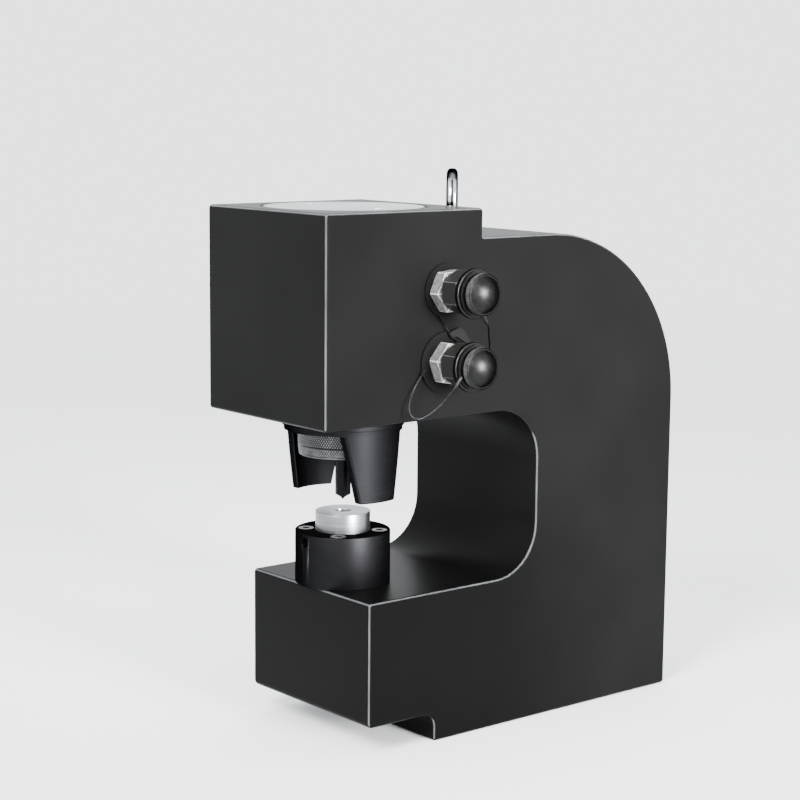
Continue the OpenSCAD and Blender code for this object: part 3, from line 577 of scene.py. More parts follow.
@made_once
def diamond_knurled_steel():
    """Case-hardened steel with a rolled diamond knurl: grey, with bright worn ridges and darker oil
    left in the grooves."""
    return one_grain((0.006, "#121213", "#1c1c1d"), (0.3, 0.42), 0.00002,
                     rub_and_light=("#77797b", 0.12, 0.95, 0.008, 0.95), metallic=1.0)


@made_once
def polished_tool_steel():
    """Hardened, blackened and polished punch steel: dark, with one soft highlight down its length."""
    return one_grain((0.0008, "#0e0e0f", "#161617"), (0.26, 0.34), 0.000004,
                     lines=0.02, metallic=0.9, specular=0.2)


@made_once
def bright_chrome():
    """Chrome plate over a drop forging: mirror bright on the ring's two flanks, with painted dark
    reflections along its parting line, its flat sides and its crown, and the forging's faint waves under
    it."""
    return one_grain((0.006, "#c4c6c8", "#d6d8da", 2), (0.1, 0.18), 0.00008,
                     rub_and_light=("#393a3c", 0.0, 1.0, 0.02, 2.0), metallic=1.0, tint=linear("#101010"))


@made_once
def dull_zinc_plate():
    """Bright zinc plate that has begun to dull: pale grey with white bloom and fine dark pits, and near
    white painted highlights along the hexagon's corners and the chamfers' arcs.
    """
    material, tree, shader, place = start_material()
    bloom, _ = grained(tree, place, 0.0035, "#595958", "#7b7b79", 4, (0.35, 0.65))
    pits = add_node(tree, "ShaderNodeTexNoise", {"Vector": place, "Scale": 1 / 0.0007, "Detail": 3.0})
    deep = add_node(tree, "ShaderNodeMapRange", {0: pits.outputs[0], 1: 0.56, 2: 0.7})
    speckled = add_node(tree, "ShaderNodeMix", {0: deep.outputs[0], 6: bloom, 7: linear("#2c2d2c")},
                        data_type="RGBA")
    # Painted highlights: near white where the edge mask marks the corners and the chamfers' arcs
    worn_and_lit, _ = rubbed_and_lit(tree, place, speckled.outputs[2], "#f0f0ec", 0.2, 0.9, 0.006, 1.0)
    tree.links.new(worn_and_lit, shader.inputs["Base Color"])
    shader.inputs["Metallic"].default_value = 0.5
    textured(tree, shader, pits.outputs[0], 0.42, 0.58, 0.00004)
    return material


@made_once
def black_phosphate():
    """Phosphated and oiled steel of the couplers: near black and satin, with grey painted highlights along
    the corners and the chamfers' arcs, broken in patches.
    """
    return one_grain((0.0008, "#171716", "#222121"), (0.34, 0.4), 0.00001,
                     rub_and_light=("#5a5c5e", 0.3, 0.95, 0.006, 0.9), metallic=0.2, specular=0.16)


@made_once
def black_anodised_cap():
    """Black anodised aluminium of the dust caps: a soft gloss on the dome, whose dye drinks the light
    that would glance off a bare metal's rim, grey where the flange's teeth are rubbed, and painted light
    that greys the collar and the profile's edges on the side towards the front and the top."""
    material, tree, shader, place = start_material()
    tone, haze = grained(tree, place, 0.004, "#1e1e1e", "#252525")
    worn_and_lit, rub_and_light = rubbed_and_lit(tree, place, tone, "#58595a", 0.2, 0.9, 0.002, 1.0)
    tree.links.new(worn_and_lit, shader.inputs["Base Color"])
    # Where the edge tone greys the cap, the collar's painted lit side included, it is made less metallic
    metal = add_node(tree, "ShaderNodeMapRange", {0: rub_and_light, 1: 0.0, 2: 1.0, 3: 1.0, 4: 0.3})
    tree.links.new(metal.outputs[0], shader.inputs["Metallic"])
    shader.inputs["Specular Tint"].default_value = linear("#202020")
    textured(tree, shader, haze, 0.34, 0.4, 0.00001)
    return material


@made_once
def stainless_wire():
    """Stranded stainless wire rope, oily: grey strands with dark lines between them."""
    return one_grain((0.003, "#17181a", "#37393b", 2), (0.26, 0.36), 0.00001,
                     metallic=1.0)


@made_once
def shaded_wire():
    """The same wire rope, darkened as painted shade for the upper wire, which hangs in shade: nearly
    black, with a dull glint on its strands.
    """
    return one_grain((0.003, "#0c0c0c", "#1f1f1f", 2), (0.36, 0.46), 0.00001,
                     metallic=1.0, tint=linear("#404040"))


@made_once
def grey_vinyl():
    """Soft grey vinyl of the tag: matt, a little mottled."""
    return one_grain((0.003, "#090909", "#0d0d0d"), (0.5, 0.6), 0.00004, specular=0.08)


@made_once
def nitrile_rubber():
    """Black nitrile of the rings, the wiper and the washers: matt with a fine moulded grain."""
    return one_grain((0.0006, "#050505", "#090909", 2), (0.66, 0.74), 0.00002,
                     specular=0.05)


@made_once
def blue_polyurethane():
    """Cast polyurethane of the pressure seals: dark blue and waxy."""
    return one_grain((0.01, "#22304f", "#324470"), (0.36, 0.44), 0.00002)


@made_once
def bearing_bronze():
    """Turned bearing bronze of the gland: warm brown with turning lines round the axis."""
    return one_grain((0.0007, "#7c5a2c", "#b98f4e", 2), (0.3, 0.4), 0.00002,
                     lines=0.03, metallic=1.0)


@made_once
def turned_steel():
    """Turned steel of the piston, the die and the poppets: grey with fine turning lines."""
    return one_grain((0.0007, "#6b6d70", "#919396", 2), (0.28, 0.36), 0.00001,
                     lines=0.03, metallic=1.0)


@made_once
def hard_chrome():
    """Ground hard chrome of the ram's rod: bright and slightly hazy."""
    return one_grain((0.01, "#c0c2c5", "#c8cacd"), (0.12, 0.2), 0.00001, metallic=1.0)


@made_once
def black_oxide_screw():
    """Black oxide on socket screws and the caps' rings: dark, oily and a little brown."""
    return one_grain((0.001, "#131313", "#201f1f"), (0.33, 0.4), 0.00001,
                     metallic=0.7, specular=0.2)


@made_once
def studio_floor():
    """Matt pale floor. Far from the machine it runs into the sky's colour, so that no horizon
    shows."""
    look = bpy.context.scene.punching_finishes
    material, tree, shader, place = start_material()
    shader.inputs["Base Color"].default_value = list(look.floor_colour)
    cloud = add_node(tree, "ShaderNodeTexNoise", {"Vector": place, "Scale": 1 / 0.4, "Detail": 3.0})
    textured(tree, shader, cloud.outputs[0], 0.75, 0.85, 0.0001)
    away = add_node(tree, "ShaderNodeVectorMath", {0: place}, operation="LENGTH")
    fade = add_node(tree, "ShaderNodeMapRange", {0: away.outputs["Value"], 1: FADE_START, 2: FADE_END})
    far = add_node(tree, "ShaderNodeEmission", {"Color": linear(SKY), "Strength": look.studio_glow})
    mixed = add_node(tree, "ShaderNodeMixShader", {
        0: fade.outputs[0], 1: shader.outputs[0], 2: far.outputs[0]})
    output = next(node for node in tree.nodes if node.type == "OUTPUT_MATERIAL")
    tree.links.new(mixed.outputs[0], output.inputs[0])
    return material


# Sizes and colours that a user may change


def length(name, description, default, low, high):
    """A property for a length in metres."""
    return FloatProperty(name=name, description=description, default=default, min=low, max=high,
                         unit="LENGTH")


class PunchingSizes(bpy.types.PropertyGroup):
    """Sizes of the shapes that the frame leaves open."""
    edge_rounding: length("Edge rounding", "Rounding of the body's long edges", 0.0025, 0.0005, 0.004)
    back_radius: length("Back corner", "Radius of the body's upper rear corner", 0.152, 0.1, 0.16)
    throat_radius: length("Throat corners", "Radius of the throat's rear corners", 0.044, 0.02, 0.06)
    cover_gap: length("Cover gap", "Dark gap round the cylinder cover", 0.0005, 0.0001, 0.001)
    knurl_pitch: length("Knurl pitch", "Spacing of the punch nut's diamond knurl", 0.0022, 0.001, 0.004)
    knurl_depth: length("Knurl depth", "Depth of the punch nut's diamond knurl", 0.00055, 0.0001, 0.001)
    cap_teeth: IntProperty(name="Cap teeth", description="Fine teeth round each dust cap's collar",
                           default=84, min=24, max=180)
    wire: length("Lanyard wire", "Diameter of the stranded lanyards", 0.0014, 0.001, 0.002)
    strand_lay: length("Strand lay", "Length in which the wire's strands wind once", 0.009, 0.004, 0.03)


class PunchingFinishes(bpy.types.PropertyGroup):
    """Colours and gloss of the main finishes."""
    paint_colour: FloatVectorProperty(name="Paint", description="Colour of the body's satin enamel",
                                      default=linear("#0e0e0e"), size=4, min=0, max=1, subtype="COLOR")
    paint_roughness: FloatProperty(name="Paint roughness", description="Roughness of that enamel",
                                   default=0.36, min=0.05, max=1, subtype="FACTOR")
    floor_colour: FloatVectorProperty(name="Floor", description="Colour of the studio floor",
                                      default=linear("#e6e7e9"), size=4, min=0, max=1, subtype="COLOR")
    studio_glow: FloatProperty(name="Studio glow", description="Brightness of the studio's pale surround",
                               default=3.0, min=0.1, max=10)


# Operators, one for each piece or group of like pieces


class PUNCHING_OT_camera(bpy.types.Operator):
    """Sets the camera at the photograph's angle"""
    bl_idname = "punching.camera"
    bl_label = "Camera"

    def execute(self, context):
        data = bpy.data.cameras.new("view")
        data.sensor_width, data.lens, data.clip_start, data.clip_end = 36, CAMERA_LENS, 0.05, 50
        place = Matrix.Translation(CAMERA_PLACE)
        for turn, axis in ((CAMERA_AZIMUTH, "Z"), (90 - CAMERA_ELEVATION, "X"), (CAMERA_ROLL, "Z")):
            place @= Matrix.Rotation(math.radians(turn), 4, axis)
        camera = bpy.data.objects.new("view", data)
        camera.matrix_world = place
        context.scene.collection.objects.link(camera)
        context.scene.camera = camera
        return {"FINISHED"}


class PUNCHING_OT_lanyards(bpy.types.Operator):
    """Adds the two stranded wires that hold the dust caps"""
    bl_idname = "punching.lanyards"
    bl_label = "Cap lanyards"

    def execute(self, context):
        sizes = context.scene.punching_sizes
        # The upper wire gets the wire rope's darker copy, whose dark colour is painted shade
        for side, finish, carried in (("upper", shaded_wire, [NODES["lanyard_tag"]]),
                                      ("lower", stainless_wire, ())):
            path = smooth_path(np.array(ROUTES[side]) / 1000, 8) + port_centre(side)
            length = float(np.linalg.norm(np.diff(path, axis=0), axis=1).sum())
            shape = swept(path, sizes.wire / 2, 20, (1, 0.3, 0.2), length / sizes.strand_lay,
                          STRANDS, STRAND_DEPTH)
            made = piece(side + "_lanyard", shape, None, finish(), side + "_cap_lanyard")
            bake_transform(made)
        return {"FINISHED"}


class PUNCHING_OT_body(bpy.types.Operator):
    """Adds the C-shaped body: its outline carried across its width, with rounded rims"""
    bl_idname = "punching.body"
    bl_label = "Body"

    def bores(self, gap):
        """Cutters on the tools' axis: the stepped cylinder bore with its chamfered mouth, and the slug
        chute with the seat of the die holder's spigot. Each is a profile (radius, height)."""
        top, mouth = FRAME_HIGH.z, COVER_HIGH.x + gap
        under, below, above = HEAD_BOTTOM - CUT_PAST, ARM_LIFT - CUT_PAST, ARM_TOP + CUT_PAST
        past = top + CHAMFER_PAST
        bore = [(0, under), (NECK_BORE_R, under), (NECK_BORE_R, NECK_TOP), (GLAND_R, NECK_TOP),
                (GLAND_R, GLAND_TOP), (CYLINDER_R, GLAND_TOP), (CYLINDER_R, COVER_LOW.z),
                (mouth, COVER_LOW.z), (mouth, top - MOUTH_CHAMFER),
                (mouth + MOUTH_CHAMFER + CHAMFER_PAST, past), (0, past)]
        chute = [(0, below), (CHUTE_R, below), (CHUTE_R, SPIGOT_BOTTOM), (SPIGOT_R, SPIGOT_BOTTOM),
                 (SPIGOT_R, above), (0, above)]
        return [upright(turned(np.repeat(r[:, None], 128, 1), z))
                for r, z in (np.array(profile).T for profile in (bore, chute))]

    def holes(self):
        """Cutters for the screws, the lifting eye and the ports."""
        turn = np.radians([45, 135, 225, 315])
        circle = HOLDER_SCREW_CIRCLE * np.stack([np.cos(turn), np.sin(turn)], 1) + (0, AXIS_Y)
        shapes = [upright(rod_shape(HOLDER_SCREW_R, HOLDER_SCREW_END, ARM_TOP + CUT_PAST, 24), x, y)
                  for x, y in circle]
        shapes += [upright(rod_shape(FOOT_HOLE_R, -CUT_PAST, FOOT_HOLE_DEPTH, 32), x, y)
                   for x in (-FOOT_HOLE_X, FOOT_HOLE_X) for y in (-FOOT_HOLE_Y, FOOT_HOLE_Y)]
        shapes.append(upright(rod_shape(EYE_HOLE_R, EYE_LOW.z - 0.001, REAR_TOP + CUT_PAST, 32), 0, EYE_Y))
        port = rod_shape(PORT_HOLE_R, -PORT_HOLE_DEPTH, CUT_PAST, 48)
        return shapes + [on_port(port, "upper"), on_port(port, "lower")]

    def execute(self, context):
        sizes = context.scene.punching_sizes
        # The outline's own corners are rounded a little more than its rims, so the two meet cleanly
        small = sizes.edge_rounding * 1.15
        front, rear, top = FRAME_LOW.y, FRAME_HIGH.y, FRAME_HIGH.z
        outline, edge = rounded([
            (FOOT_FRONT, 0, small), (rear, 0, small), (rear, REAR_TOP, sizes.back_radius),
            (HEAD_REAR, REAR_TOP, STEP_ARC), (HEAD_REAR, top, small), (front, top, small),
            (front, HEAD_BOTTOM, small), (THROAT_REAR, HEAD_BOTTOM, sizes.throat_radius),
            (THROAT_REAR, ARM_TOP, sizes.throat_radius), (ARM_FRONT, ARM_TOP, small),
            (ARM_FRONT, ARM_LIFT, ARM_TOE_ARC), (FOOT_FRONT, ARM_LIFT, FOOT_ARC)])
        (points, faces), rims = extruded(outline, edge, SIDE_X, sizes.edge_rounding)
        # Rims that face down are out of reach of tools and hands, and keep most of their paint
        ahead = np.roll(outline, -1, 0) - np.roll(outline, 1, 0)
        down = ahead[:, 0] / np.linalg.norm(ahead, axis=1)
        made = piece("body_casting", (points[:, [2, 0, 1]], faces), "frame_body", satin_black_paint(),
                     "frame", rims * np.where(down > 0.5, 0.75, 1.0))
        cut_away(made, self.bores(sizes.cover_gap) + self.holes(), sharp=50)
        return {"FINISHED"}


class PUNCHING_OT_cover(bpy.types.Operator):
    """Finishes the ground cylinder cover"""
    bl_idname = "punching.cover"
    bl_label = "Cylinder cover"

    def execute(self, context):
        dress(surface_ground_steel(), "cylinder_cover", edge=0.0004)
        return {"FINISHED"}


class PUNCHING_OT_stripper(bpy.types.Operator):
    """Adds the stripper: a threaded ring with two tapered legs"""
    bl_idname = "punching.stripper"
    bl_label = "Stripper"

    def leg(self, side):
        """One leg: a rounded rectangle (y, radius) that widens with height, wrapped on the ring by
        x = side * the root of radius squared less y squared. Its foot is rounded."""
        flat, arc, rows = 19, 5, 12
        low, high = STRIPPER_LOW.z, STRIPPER_HIGH.z - NECK_H - FLANGE_H
        # Section: for each point, its place along the core, the core's side and the angle of its step
        # off the core
        share = np.linspace(-1, 1, flat)
        core = np.concatenate([share, [1] * 2 * arc, share[::-1], [-1] * 2 * arc])
        level = np.concatenate([[-1.0] * (flat + arc), [1.0] * (flat + 2 * arc), [-1.0] * arc])
        quarter = np.linspace(0, 90, arc)
        angle = np.concatenate([[-90] * flat, quarter - 90, quarter, [90] * flat, quarter + 90,
                                quarter + 180])
        out, up = np.cos(np.radians(angle)), np.sin(np.radians(angle))
        # Heights: a quarter circle for the foot, then even steps
        phase = np.linspace(0, np.pi / 2, arc)
        heights = np.concatenate([low + LEG_FOOT_ARC * (1 - np.cos(phase)),
                                  np.linspace(low + LEG_EVEN_FROM, high, rows)])
        corner = LEG_CORNER - np.concatenate([LEG_FOOT_ARC * (1 - np.sin(phase)), np.zeros(rows)])[:, None]
        width = LEG_HALF_TIP + (LEG_HALF_ROOT - LEG_HALF_TIP) * (heights - low) / LEG_TALL
        around = core * (width[:, None] - LEG_CORNER) + out * corner
        middle, half = (STRIPPER_BORE_R + LEG_R) / 2, (LEG_R - STRIPPER_BORE_R) / 2
        radius = middle + level * (half - LEG_CORNER) + up * corner
        x = side * np.sqrt(radius ** 2 - around ** 2)
        points = np.stack([x, AXIS_Y + around, np.broadcast_to(heights[:, None], x.shape)], -1)
        faces = capped_faces(*x.shape)
        # Mask: highest in the middle of each corner's arc and of the foot's arc
        crown = 1 - np.abs(angle % 90 / 45 - 1)
        tilt = np.arccos(np.clip(1 - (heights - low) / LEG_FOOT_ARC, -1, 1))
        foot = np.where(corner[:, 0] < LEG_CORNER, np.sin(2 * tilt), 0)
        if side > 0:
            faces = [face[::-1] for face in faces]
        return (points.reshape(-1, 3), faces), np.maximum(crown[None], foot[:, None])

    def execute(self, context):
        high, columns = STRIPPER_HIGH.z, 192
        neck, under = high - NECK_H, high - NECK_H - FLANGE_H
        ring, edge = lathed([
            (STRIPPER_BORE_R, under - LEG_LAP, 0.0005), (LEG_R, under - LEG_LAP, 0.0005),
            (LEG_R, under, 0.0003), (FLANGE_R, under, 0.0006), (FLANGE_R, neck, 0.0006),
            (NECK_R, neck, 0.0003), (NECK_R, high, 0.0006), (STRIPPER_BORE_R, high, 0.0006)], columns)
        made = piece("stripper_ring", upright(ring), "frame_body", blackened_steel(), "stripper",
                     np.repeat(edge, columns))
        screw = rod_shape(LOCK_SCREW_R, under - 0.01, neck + 0.0001, 32)
        cut_away(made, [upright(screw, 0, AXIS_Y + y) for y in (-LOCK_SCREW_Y, LOCK_SCREW_Y)], sharp=50)
        for side, name in ((-1, "stripper_leg_left"), (1, "stripper_leg_right")):
            shape, rims = self.leg(side)
            piece(name, shape, "frame_body", blackened_steel(), "stripper", rims, 50)
        return {"FINISHED"}


class PUNCHING_OT_nut(bpy.types.Operator):
    """Adds the punch nut with its diamond knurl, and the punch"""
    bl_idname = "punching.nut"
    bl_label = "Punch nut and punch"

    def nut(self, pitch, depth):
        """The nut and its edge mask. Its knurl is two families of slanting grooves: the height is the
        lower of two triangle waves, on a coned lower band and a straight upper band with a plain groove
        between them."""
        low, high, r = NUT_LOW.z, NUT_HIGH.z, NUT_HIGH.x
        count = round(2 * math.pi * r / pitch)
        columns = count * KNURL_COLUMNS
        foot, _ = rounded([(NUT_BORE_R, low, 0.0005), (r - NUT_CHAMFER, low, 0.0005),
                           (r - NUT_TAPER, low + 0.0008, 0)], False)
        top, _ = rounded([
            (r - 0.0006, high - NUT_CHAMFER, 0), (r - NUT_CHAMFER, high, 0.0003),
            (NUT_THREAD_R, high, 0.0003), (NUT_THREAD_R, low + NUT_FLOOR, 0.0002),
            (NUT_BORE_R, low + NUT_FLOOR, 0.0002)], False)
        z = np.linspace(foot[-1, 1], top[0, 1], KNURL_ROWS)[1:-1, None]
        angle = np.arange(columns) * count / columns
        waves = [np.abs((angle + sign * z / (pitch * KNURL_SLANT)) % 1 * 2 - 1) for sign in (-1, 1)]
        split = low + NUT_GROOVE
        band = np.where(z < split, r - NUT_TAPER * (split - z) / (split - low), r - 0.0001)
        to_end = np.minimum(np.minimum(z - z[0], z[-1] - z), np.abs(z - split))
        ridge = np.minimum(*waves) * ranged_array(to_end, 0.0003, 0.0008)
        knurl = band - depth * (1 - ridge)
        plain = [np.repeat(part[:, :1], columns, 1) for part in (foot, top)]
        radii = np.concatenate([plain[0], knurl, plain[1]])
        heights = np.concatenate([foot[:, 1], z[:, 0], top[:, 1]])
        # The coned band is handled most, so its grooves are worn too
        worn_and_lit = np.where(z < split, 0.12, 0.0) + ridge
        edge = [np.full((len(foot), columns), 0.5), worn_and_lit, np.full((len(top), columns), 0.4)]
        return upright(turned(radii, heights)), np.concatenate(edge)

    def execute(self, context):
        sizes = context.scene.punching_sizes
        shape, edge = self.nut(sizes.knurl_pitch, sizes.knurl_depth)
        piece("knurled_nut", shape, "punch_nut", diamond_knurled_steel(), "punch_nut",
              edge, 70)
        tip, shoulder, head = PUNCH_LOW.z, STRIPPER_LOW.z, PUNCH_HIGH.z
        punch, _ = lathed([
            (0, tip, 0), (POINT_R, tip + POINT_H, 0.0003), (PUNCH_R, shoulder, 0.0001),
            (PUNCH_R, head - PUNCH_HEAD_H, 0.001), (PUNCH_HEAD_R, head, 0.0002), (0, head, 0)],
            64, closed=False)
        piece("round_punch", upright(punch), "ram", polished_tool_steel(), "punch", sharp=40)
        return {"FINISHED"}


class PUNCHING_OT_eye(bpy.types.Operator):
    """Adds the forged lifting eye"""
    bl_idname = "punching.eye"
    bl_label = "Lifting eye"

    def execute(self, context):
        # Ring: a nearly square section carried round a circle, then turned on its thread
        around, section = full_turn(144)[:, None], full_turn(48)
        bulge = (np.abs(np.cos(section)) ** RING_SQUARE
                 + np.abs(np.sin(section)) ** RING_SQUARE) ** (-1 / RING_SQUARE)
        out = RING_R + RING_BAND * bulge * np.cos(section)
        across = np.broadcast_to(RING_THICK * bulge * np.sin(section), (len(around), len(section)))
        flat = np.stack([out * np.cos(around), across, out * np.sin(around)], -1)
        c, s = math.cos(EYE_TURN), math.sin(EYE_TURN)
        points = flat.reshape(-1, 3) @ np.array([[c, s, 0], [-s, c, 0], [0, 0, 1]])
        ring = (points + (0, EYE_Y, EYE_HIGH.z - RING_R - RING_BAND),
                grid_faces(len(around), len(section), close_rows=True))
        base, low = REAR_TOP, EYE_LOW.z
        stem, _ = lathed([
            (0, low, 0), (SHANK_R, low, 0.0008), (SHANK_R, base, 0.0002), (COLLAR_R, base, 0.0006),
            (COLLAR_R, base + COLLAR_H, 0.0015), (0.0062, base + 0.0095, 0.004),
            (0.0048, base + 0.0145, 0.001), (0, base + 0.0145, 0)], 96, closed=False)
        # Painted reflections: the chrome is painted dark along the parting line, the flat sides and the
        # crown, where the mirror ring would show its dark surroundings
        fold = np.degrees(np.arcsin(np.abs(np.sin(section))))
        flank = ranged_array(fold, 34, 46) * ranged_array(fold, 84, 70)
        painted_dark_bands = np.maximum(ranged_array(fold, 12, 6), flank)
        painted_reflections = np.maximum(painted_dark_bands, ranged_array(np.sin(around), 0.55, 0.86))
        piece("forged_eye", joined([ring, upright(stem, 0, EYE_Y)]), "frame_body", bright_chrome(),
              "lifting_eye", np.concatenate([painted_reflections.ravel(), np.full(len(stem[0]), 0.5)]))
        return {"FINISHED"}


class PUNCHING_OT_couplers(bpy.types.Operator):
    """Adds the zinc adapters, the coupler bodies and their washers"""
    bl_idname = "punching.couplers"
    bl_label = "Adapters and couplers"

    def execute(self, context):
        # Profiles: radius, place along the port and rounding
        adapter = [
            (0.004, -0.0158, 0.0003), (0.00825, -0.0158, 0.0006), (0.00825, 0.002, 0.0001),
            (0.0172, 0.002, 0.0003), (0.019, 0.0032, 0.0001), (0.019, 0.0113, 0.0001),
            (0.0162, 0.0125, 0.0003), (0.008, 0.0125, 0.0002), (0.008, 0.0169, 0.0004),
            (0.004, 0.0169, 0.0004), (0.004, -0.0158, 0)]
        coupler = [
            (0.00805, 0.013, 0.0003), (0.0148, 0.013, 0.0005), (0.0186, 0.016, 0.0003),
            (0.0186, 0.0295, 0.0003), (0.0148, 0.0325, 0.0003), (0.013, 0.0325, 0.0002),
            (0.013, 0.0425, 0.0006), (0.006, 0.0425, 0.0006), (0.006, 0.0365, 0.0002),
            (0.0075, 0.0355, 0.0002), (0.0075, 0.0175, 0.0002), (0.00805, 0.0172, 0)]
        for side, turn in ADAPTER_TURNS.items():
            dress(nitrile_rubber(), side + "_port_washer", edge=0.0003)
            shape, edge = hexed(adapter, ADAPTER_FLATS, turn)
            piece(side + "_adapter", on_port(shape, side), "frame_body", dull_zinc_plate(),
                  side + "_port_adapter", edge, 40)
            shape, edge = hexed(coupler, COUPLER_FLATS, 0)
            piece(side + "_coupler", on_port(shape, side), "frame_body", black_phosphate(),
                  side + "_coupler_body", edge, 40)
        return {"FINISHED"}


class PUNCHING_OT_caps(bpy.types.Operator):
    """Adds the dust caps: a serrated flange, a groove, a knurled collar and a shallow dome"""
    bl_idname = "punching.caps"
    bl_label = "Dust caps"

    def execute(self, context):
        teeth = context.scene.punching_sizes.cap_teeth
        columns = teeth * 8
        points, edge = rounded([
            (0, CAP_BORE_END, 0), (CAP_BORE_R, CAP_BORE_END, 0.0006), (CAP_BORE_R, 0, 0.0006),
            (CAP_RIM_R, 0, 0.0006), (CAP_RIM_R, CAP_RIM_END, 0.0008), (CAP_GROOVE_R, CAP_RIM_END, 0.0004),
            (CAP_GROOVE_R, COLLAR_START, 0.0004), (CAP_COLLAR_R, COLLAR_START, 0.0003),
            (CAP_COLLAR_R, COLLAR_END, 0.0005), (0.0158, DOME_START, 0.0003),
            (DOME_R + 0.0002, DOME_START, 0.0001)], False, 3)
        # Dome: a shallow part of a sphere, from its rim to its pole
        sphere = (DOME_R ** 2 + DOME_H ** 2) / (2 * DOME_H)
        tilt = np.linspace(math.asin(DOME_R / sphere), 0, 18)
        dome = np.stack([sphere * np.sin(tilt), CAP_TALL - sphere + sphere * np.cos(tilt)], 1)
        profile = np.concatenate([points, dome])
        # Teeth: a triangle wave cut into the flange's rim and the collar
        angle = full_turn(columns)
        wave = np.abs((angle * teeth / (2 * np.pi)) % 1 * 2 - 1)[None]
        r, z = profile[:, :1], profile[:, 1:]
        on_rim = (np.abs(r - CAP_RIM_R) < 0.00005) & (z > 0.0003)
        on_collar = np.abs(r - CAP_COLLAR_R) < 0.00005
        radii = r - (on_rim * RIM_TEETH + on_collar * COLLAR_TEETH) * (1 - wave)
        # Painted light: the collar and the profile's edges are painted greyer on the side towards the
        # front and the top, where the light falls
        lit_side = 0.5 - 0.5 * np.sin(angle + 0.5)
        knurl = on_collar * (0.55 + 0.45 * wave) * (0.1 + 0.9 * lit_side)
        crown = np.concatenate([edge, np.zeros(len(dome))])[:, None] * 0.25 * lit_side
        bright = np.maximum(crown, np.maximum(on_rim * (0.05 + 0.2 * wave), knurl))
        for side in ("upper", "lower"):
            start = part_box(side + "_dust_cap")[0].x - SIDE_X
            shape = turned(radii, profile[:, 1] + start)
            piece(side + "_cap", on_port(shape, side), side + "_dust_cap", black_anodised_cap(),
                  side + "_dust_cap", without_poles(bright, columns), 35)
            dress(black_oxide_screw(), side + "_cap_ring", edge=0.0002)
        return {"FINISHED"}


class PUNCHING_OT_tag(bpy.types.Operator):
    """Finishes the bare tag on the upper lanyard"""
    bl_idname = "punching.tag"
    bl_label = "Lanyard tag"

    def execute(self, context):
        dress(grey_vinyl(), "lanyard_tag", edge=0.00015)
        return {"FINISHED"}


class PUNCHING_OT_die_set(bpy.types.Operator):
    """Finishes the die, its holder and the screws"""
    bl_idname = "punching.die_set"
    bl_label = "Die set"

    def execute(self, context):
        dress(blackened_steel(), "die_holder", edge=0.0006)
        dress(turned_steel(), "die", edge=0.0004)
        dress(black_oxide_screw(), "die_holder_screws", "die_set_screw", "stripper_lock_screws",
              edge=0.0002)
        return {"FINISHED"}


class PUNCHING_OT_inside(bpy.types.Operator):
    """Finishes the parts inside the cylinder and the couplers"""
    bl_idname = "punching.inside"
    bl_label = "Inner parts"

    def execute(self, context):
        dress(nitrile_rubber(), "cover_o_ring", "gland_o_ring", "rod_wiper")
        dress(blue_polyurethane(), "piston_seal", "rod_seal")
        dress(bearing_bronze(), "rod_gland", "piston_guide_ring")
        dress(turned_steel(), "piston", "piston_nut", "punch_collar", "upper_poppet", "lower_poppet")
        dress(hard_chrome(), "piston_rod")
        return {"FINISHED"}


class PUNCHING_OT_springs(bpy.types.Operator):
    """Adds the coiled springs behind the couplers' poppets"""
    bl_idname = "punching.springs"
    bl_label = "Poppet springs"

    def execute(self, context):
        turn = np.linspace(0, SPRING_TURNS * 2 * np.pi, SPRING_TURNS * 28 + 1)
        for side in ("upper", "lower"):
            low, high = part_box(side + "_poppet_spring")
            y, z, length = (low.y + high.y) / 2, (low.z + high.z) / 2, high.x - low.x
            # Helix: out along x by the same step for each part of a turn, round the port's axis
            reach = (high.y - low.y) / 2 - SPRING_WIRE
            along = np.linspace(low.x + SPRING_WIRE, high.x - SPRING_WIRE, len(turn))
            coil = np.stack([along, y + reach * np.sin(turn), z - reach * np.cos(turn)], 1)
            made = piece(side + "_spring", swept(coil, SPRING_WIRE, 14, (1, 0, 0)), "frame_body",
                         turned_steel(), side + "_poppet_spring")
            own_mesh(made)
        return {"FINISHED"}


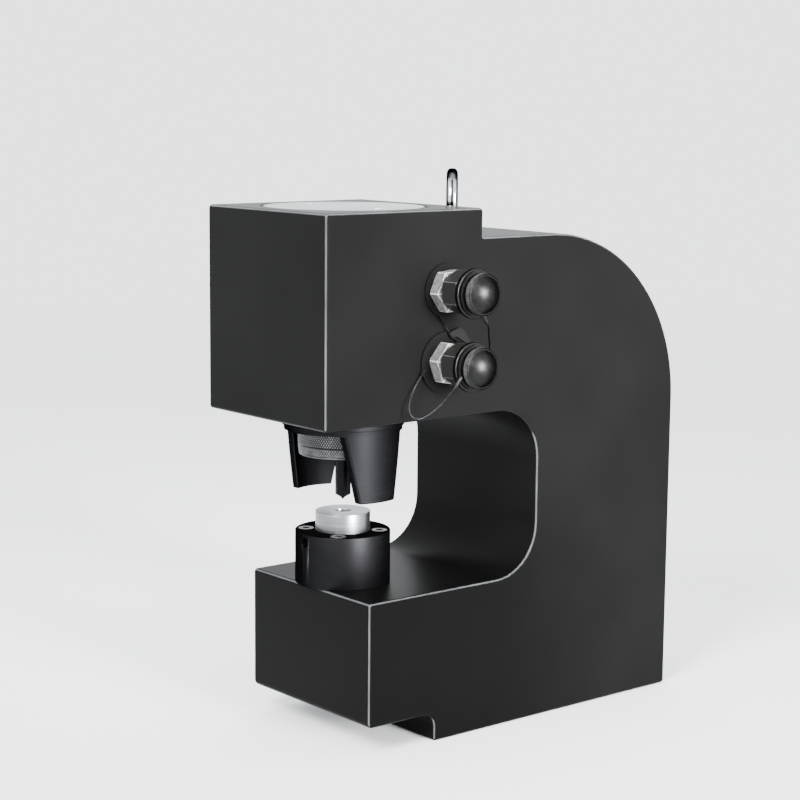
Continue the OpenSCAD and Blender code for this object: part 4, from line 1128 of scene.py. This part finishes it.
class PUNCHING_OT_studio(bpy.types.Operator):
    """Adds the pale floor and the soft lights"""
    bl_idname = "punching.studio"
    bl_label = "Studio"

    def execute(self, context):
        scene = context.scene
        corners = np.array([[-1, -1, 0], [1, -1, 0], [1, 1, 0], [-1, 1, 0]]) * FLOOR_REACH
        floor = (corners - (0, 0, FLOOR_DROP), [[0, 1, 2, 3]])
        piece("studio_floor", floor, None, studio_floor(), level=False)
        world = bpy.data.worlds.new("studio")
        world.use_nodes = True
        background = world.node_tree.nodes["Background"]
        background.inputs["Color"].default_value = linear(SKY)
        background.inputs["Strength"].default_value = scene.punching_finishes.studio_glow
        scene.world = world
        for name, place, target, width, height, power, spread in SOFT_BOXES:
            data = bpy.data.lights.new(name, "AREA")
            data.spread = math.radians(spread)
            data.shape, data.size, data.size_y, data.energy = "RECTANGLE", width, height, power
            light = bpy.data.objects.new(name, data)
            turn = (Vector(place) - Vector(target)).to_track_quat("Z", "Y")
            light.matrix_world = Matrix.Translation(place) @ turn.to_matrix().to_4x4()
            scene.collection.objects.link(light)
        return {"FINISHED"}


class PUNCHING_PT_panel(bpy.types.Panel):
    """Lists the machine's sizes, finishes and pieces"""
    bl_idname = "PUNCHING_PT_panel"
    bl_label = "Punching Machine"
    bl_space_type = "VIEW_3D"
    bl_region_type = "UI"
    bl_category = "Punching Machine"

    def draw(self, context):
        for group in (context.scene.punching_sizes, context.scene.punching_finishes):
            box = self.layout.box()
            for name in group.__annotations__:
                box.prop(group, name)
        for operator in STEPS:
            self.layout.operator(operator.bl_idname)


STEPS = (PUNCHING_OT_camera, PUNCHING_OT_lanyards, PUNCHING_OT_body, PUNCHING_OT_cover,
         PUNCHING_OT_stripper, PUNCHING_OT_nut, PUNCHING_OT_eye, PUNCHING_OT_couplers, PUNCHING_OT_caps,
         PUNCHING_OT_tag, PUNCHING_OT_die_set, PUNCHING_OT_inside, PUNCHING_OT_springs,
         PUNCHING_OT_studio)
CLASSES = (PunchingSizes, PunchingFinishes, *STEPS, PUNCHING_PT_panel)


def register():
    for made in CLASSES:
        bpy.utils.register_class(made)
    bpy.types.Scene.punching_sizes = PointerProperty(type=PunchingSizes)
    bpy.types.Scene.punching_finishes = PointerProperty(type=PunchingFinishes)


def unregister():
    del bpy.types.Scene.punching_finishes
    del bpy.types.Scene.punching_sizes
    for made in reversed(CLASSES):
        bpy.utils.unregister_class(made)


def main():
    """Builds every piece in order."""
    register()
    for step in STEPS:
        group, name = step.bl_idname.split(".")
        if getattr(getattr(bpy.ops, group), name)() != {"FINISHED"}:
            raise RuntimeError(step.bl_label + " was not finished")
    bpy.context.view_layer.update()


if __name__ == "__main__":
    main()
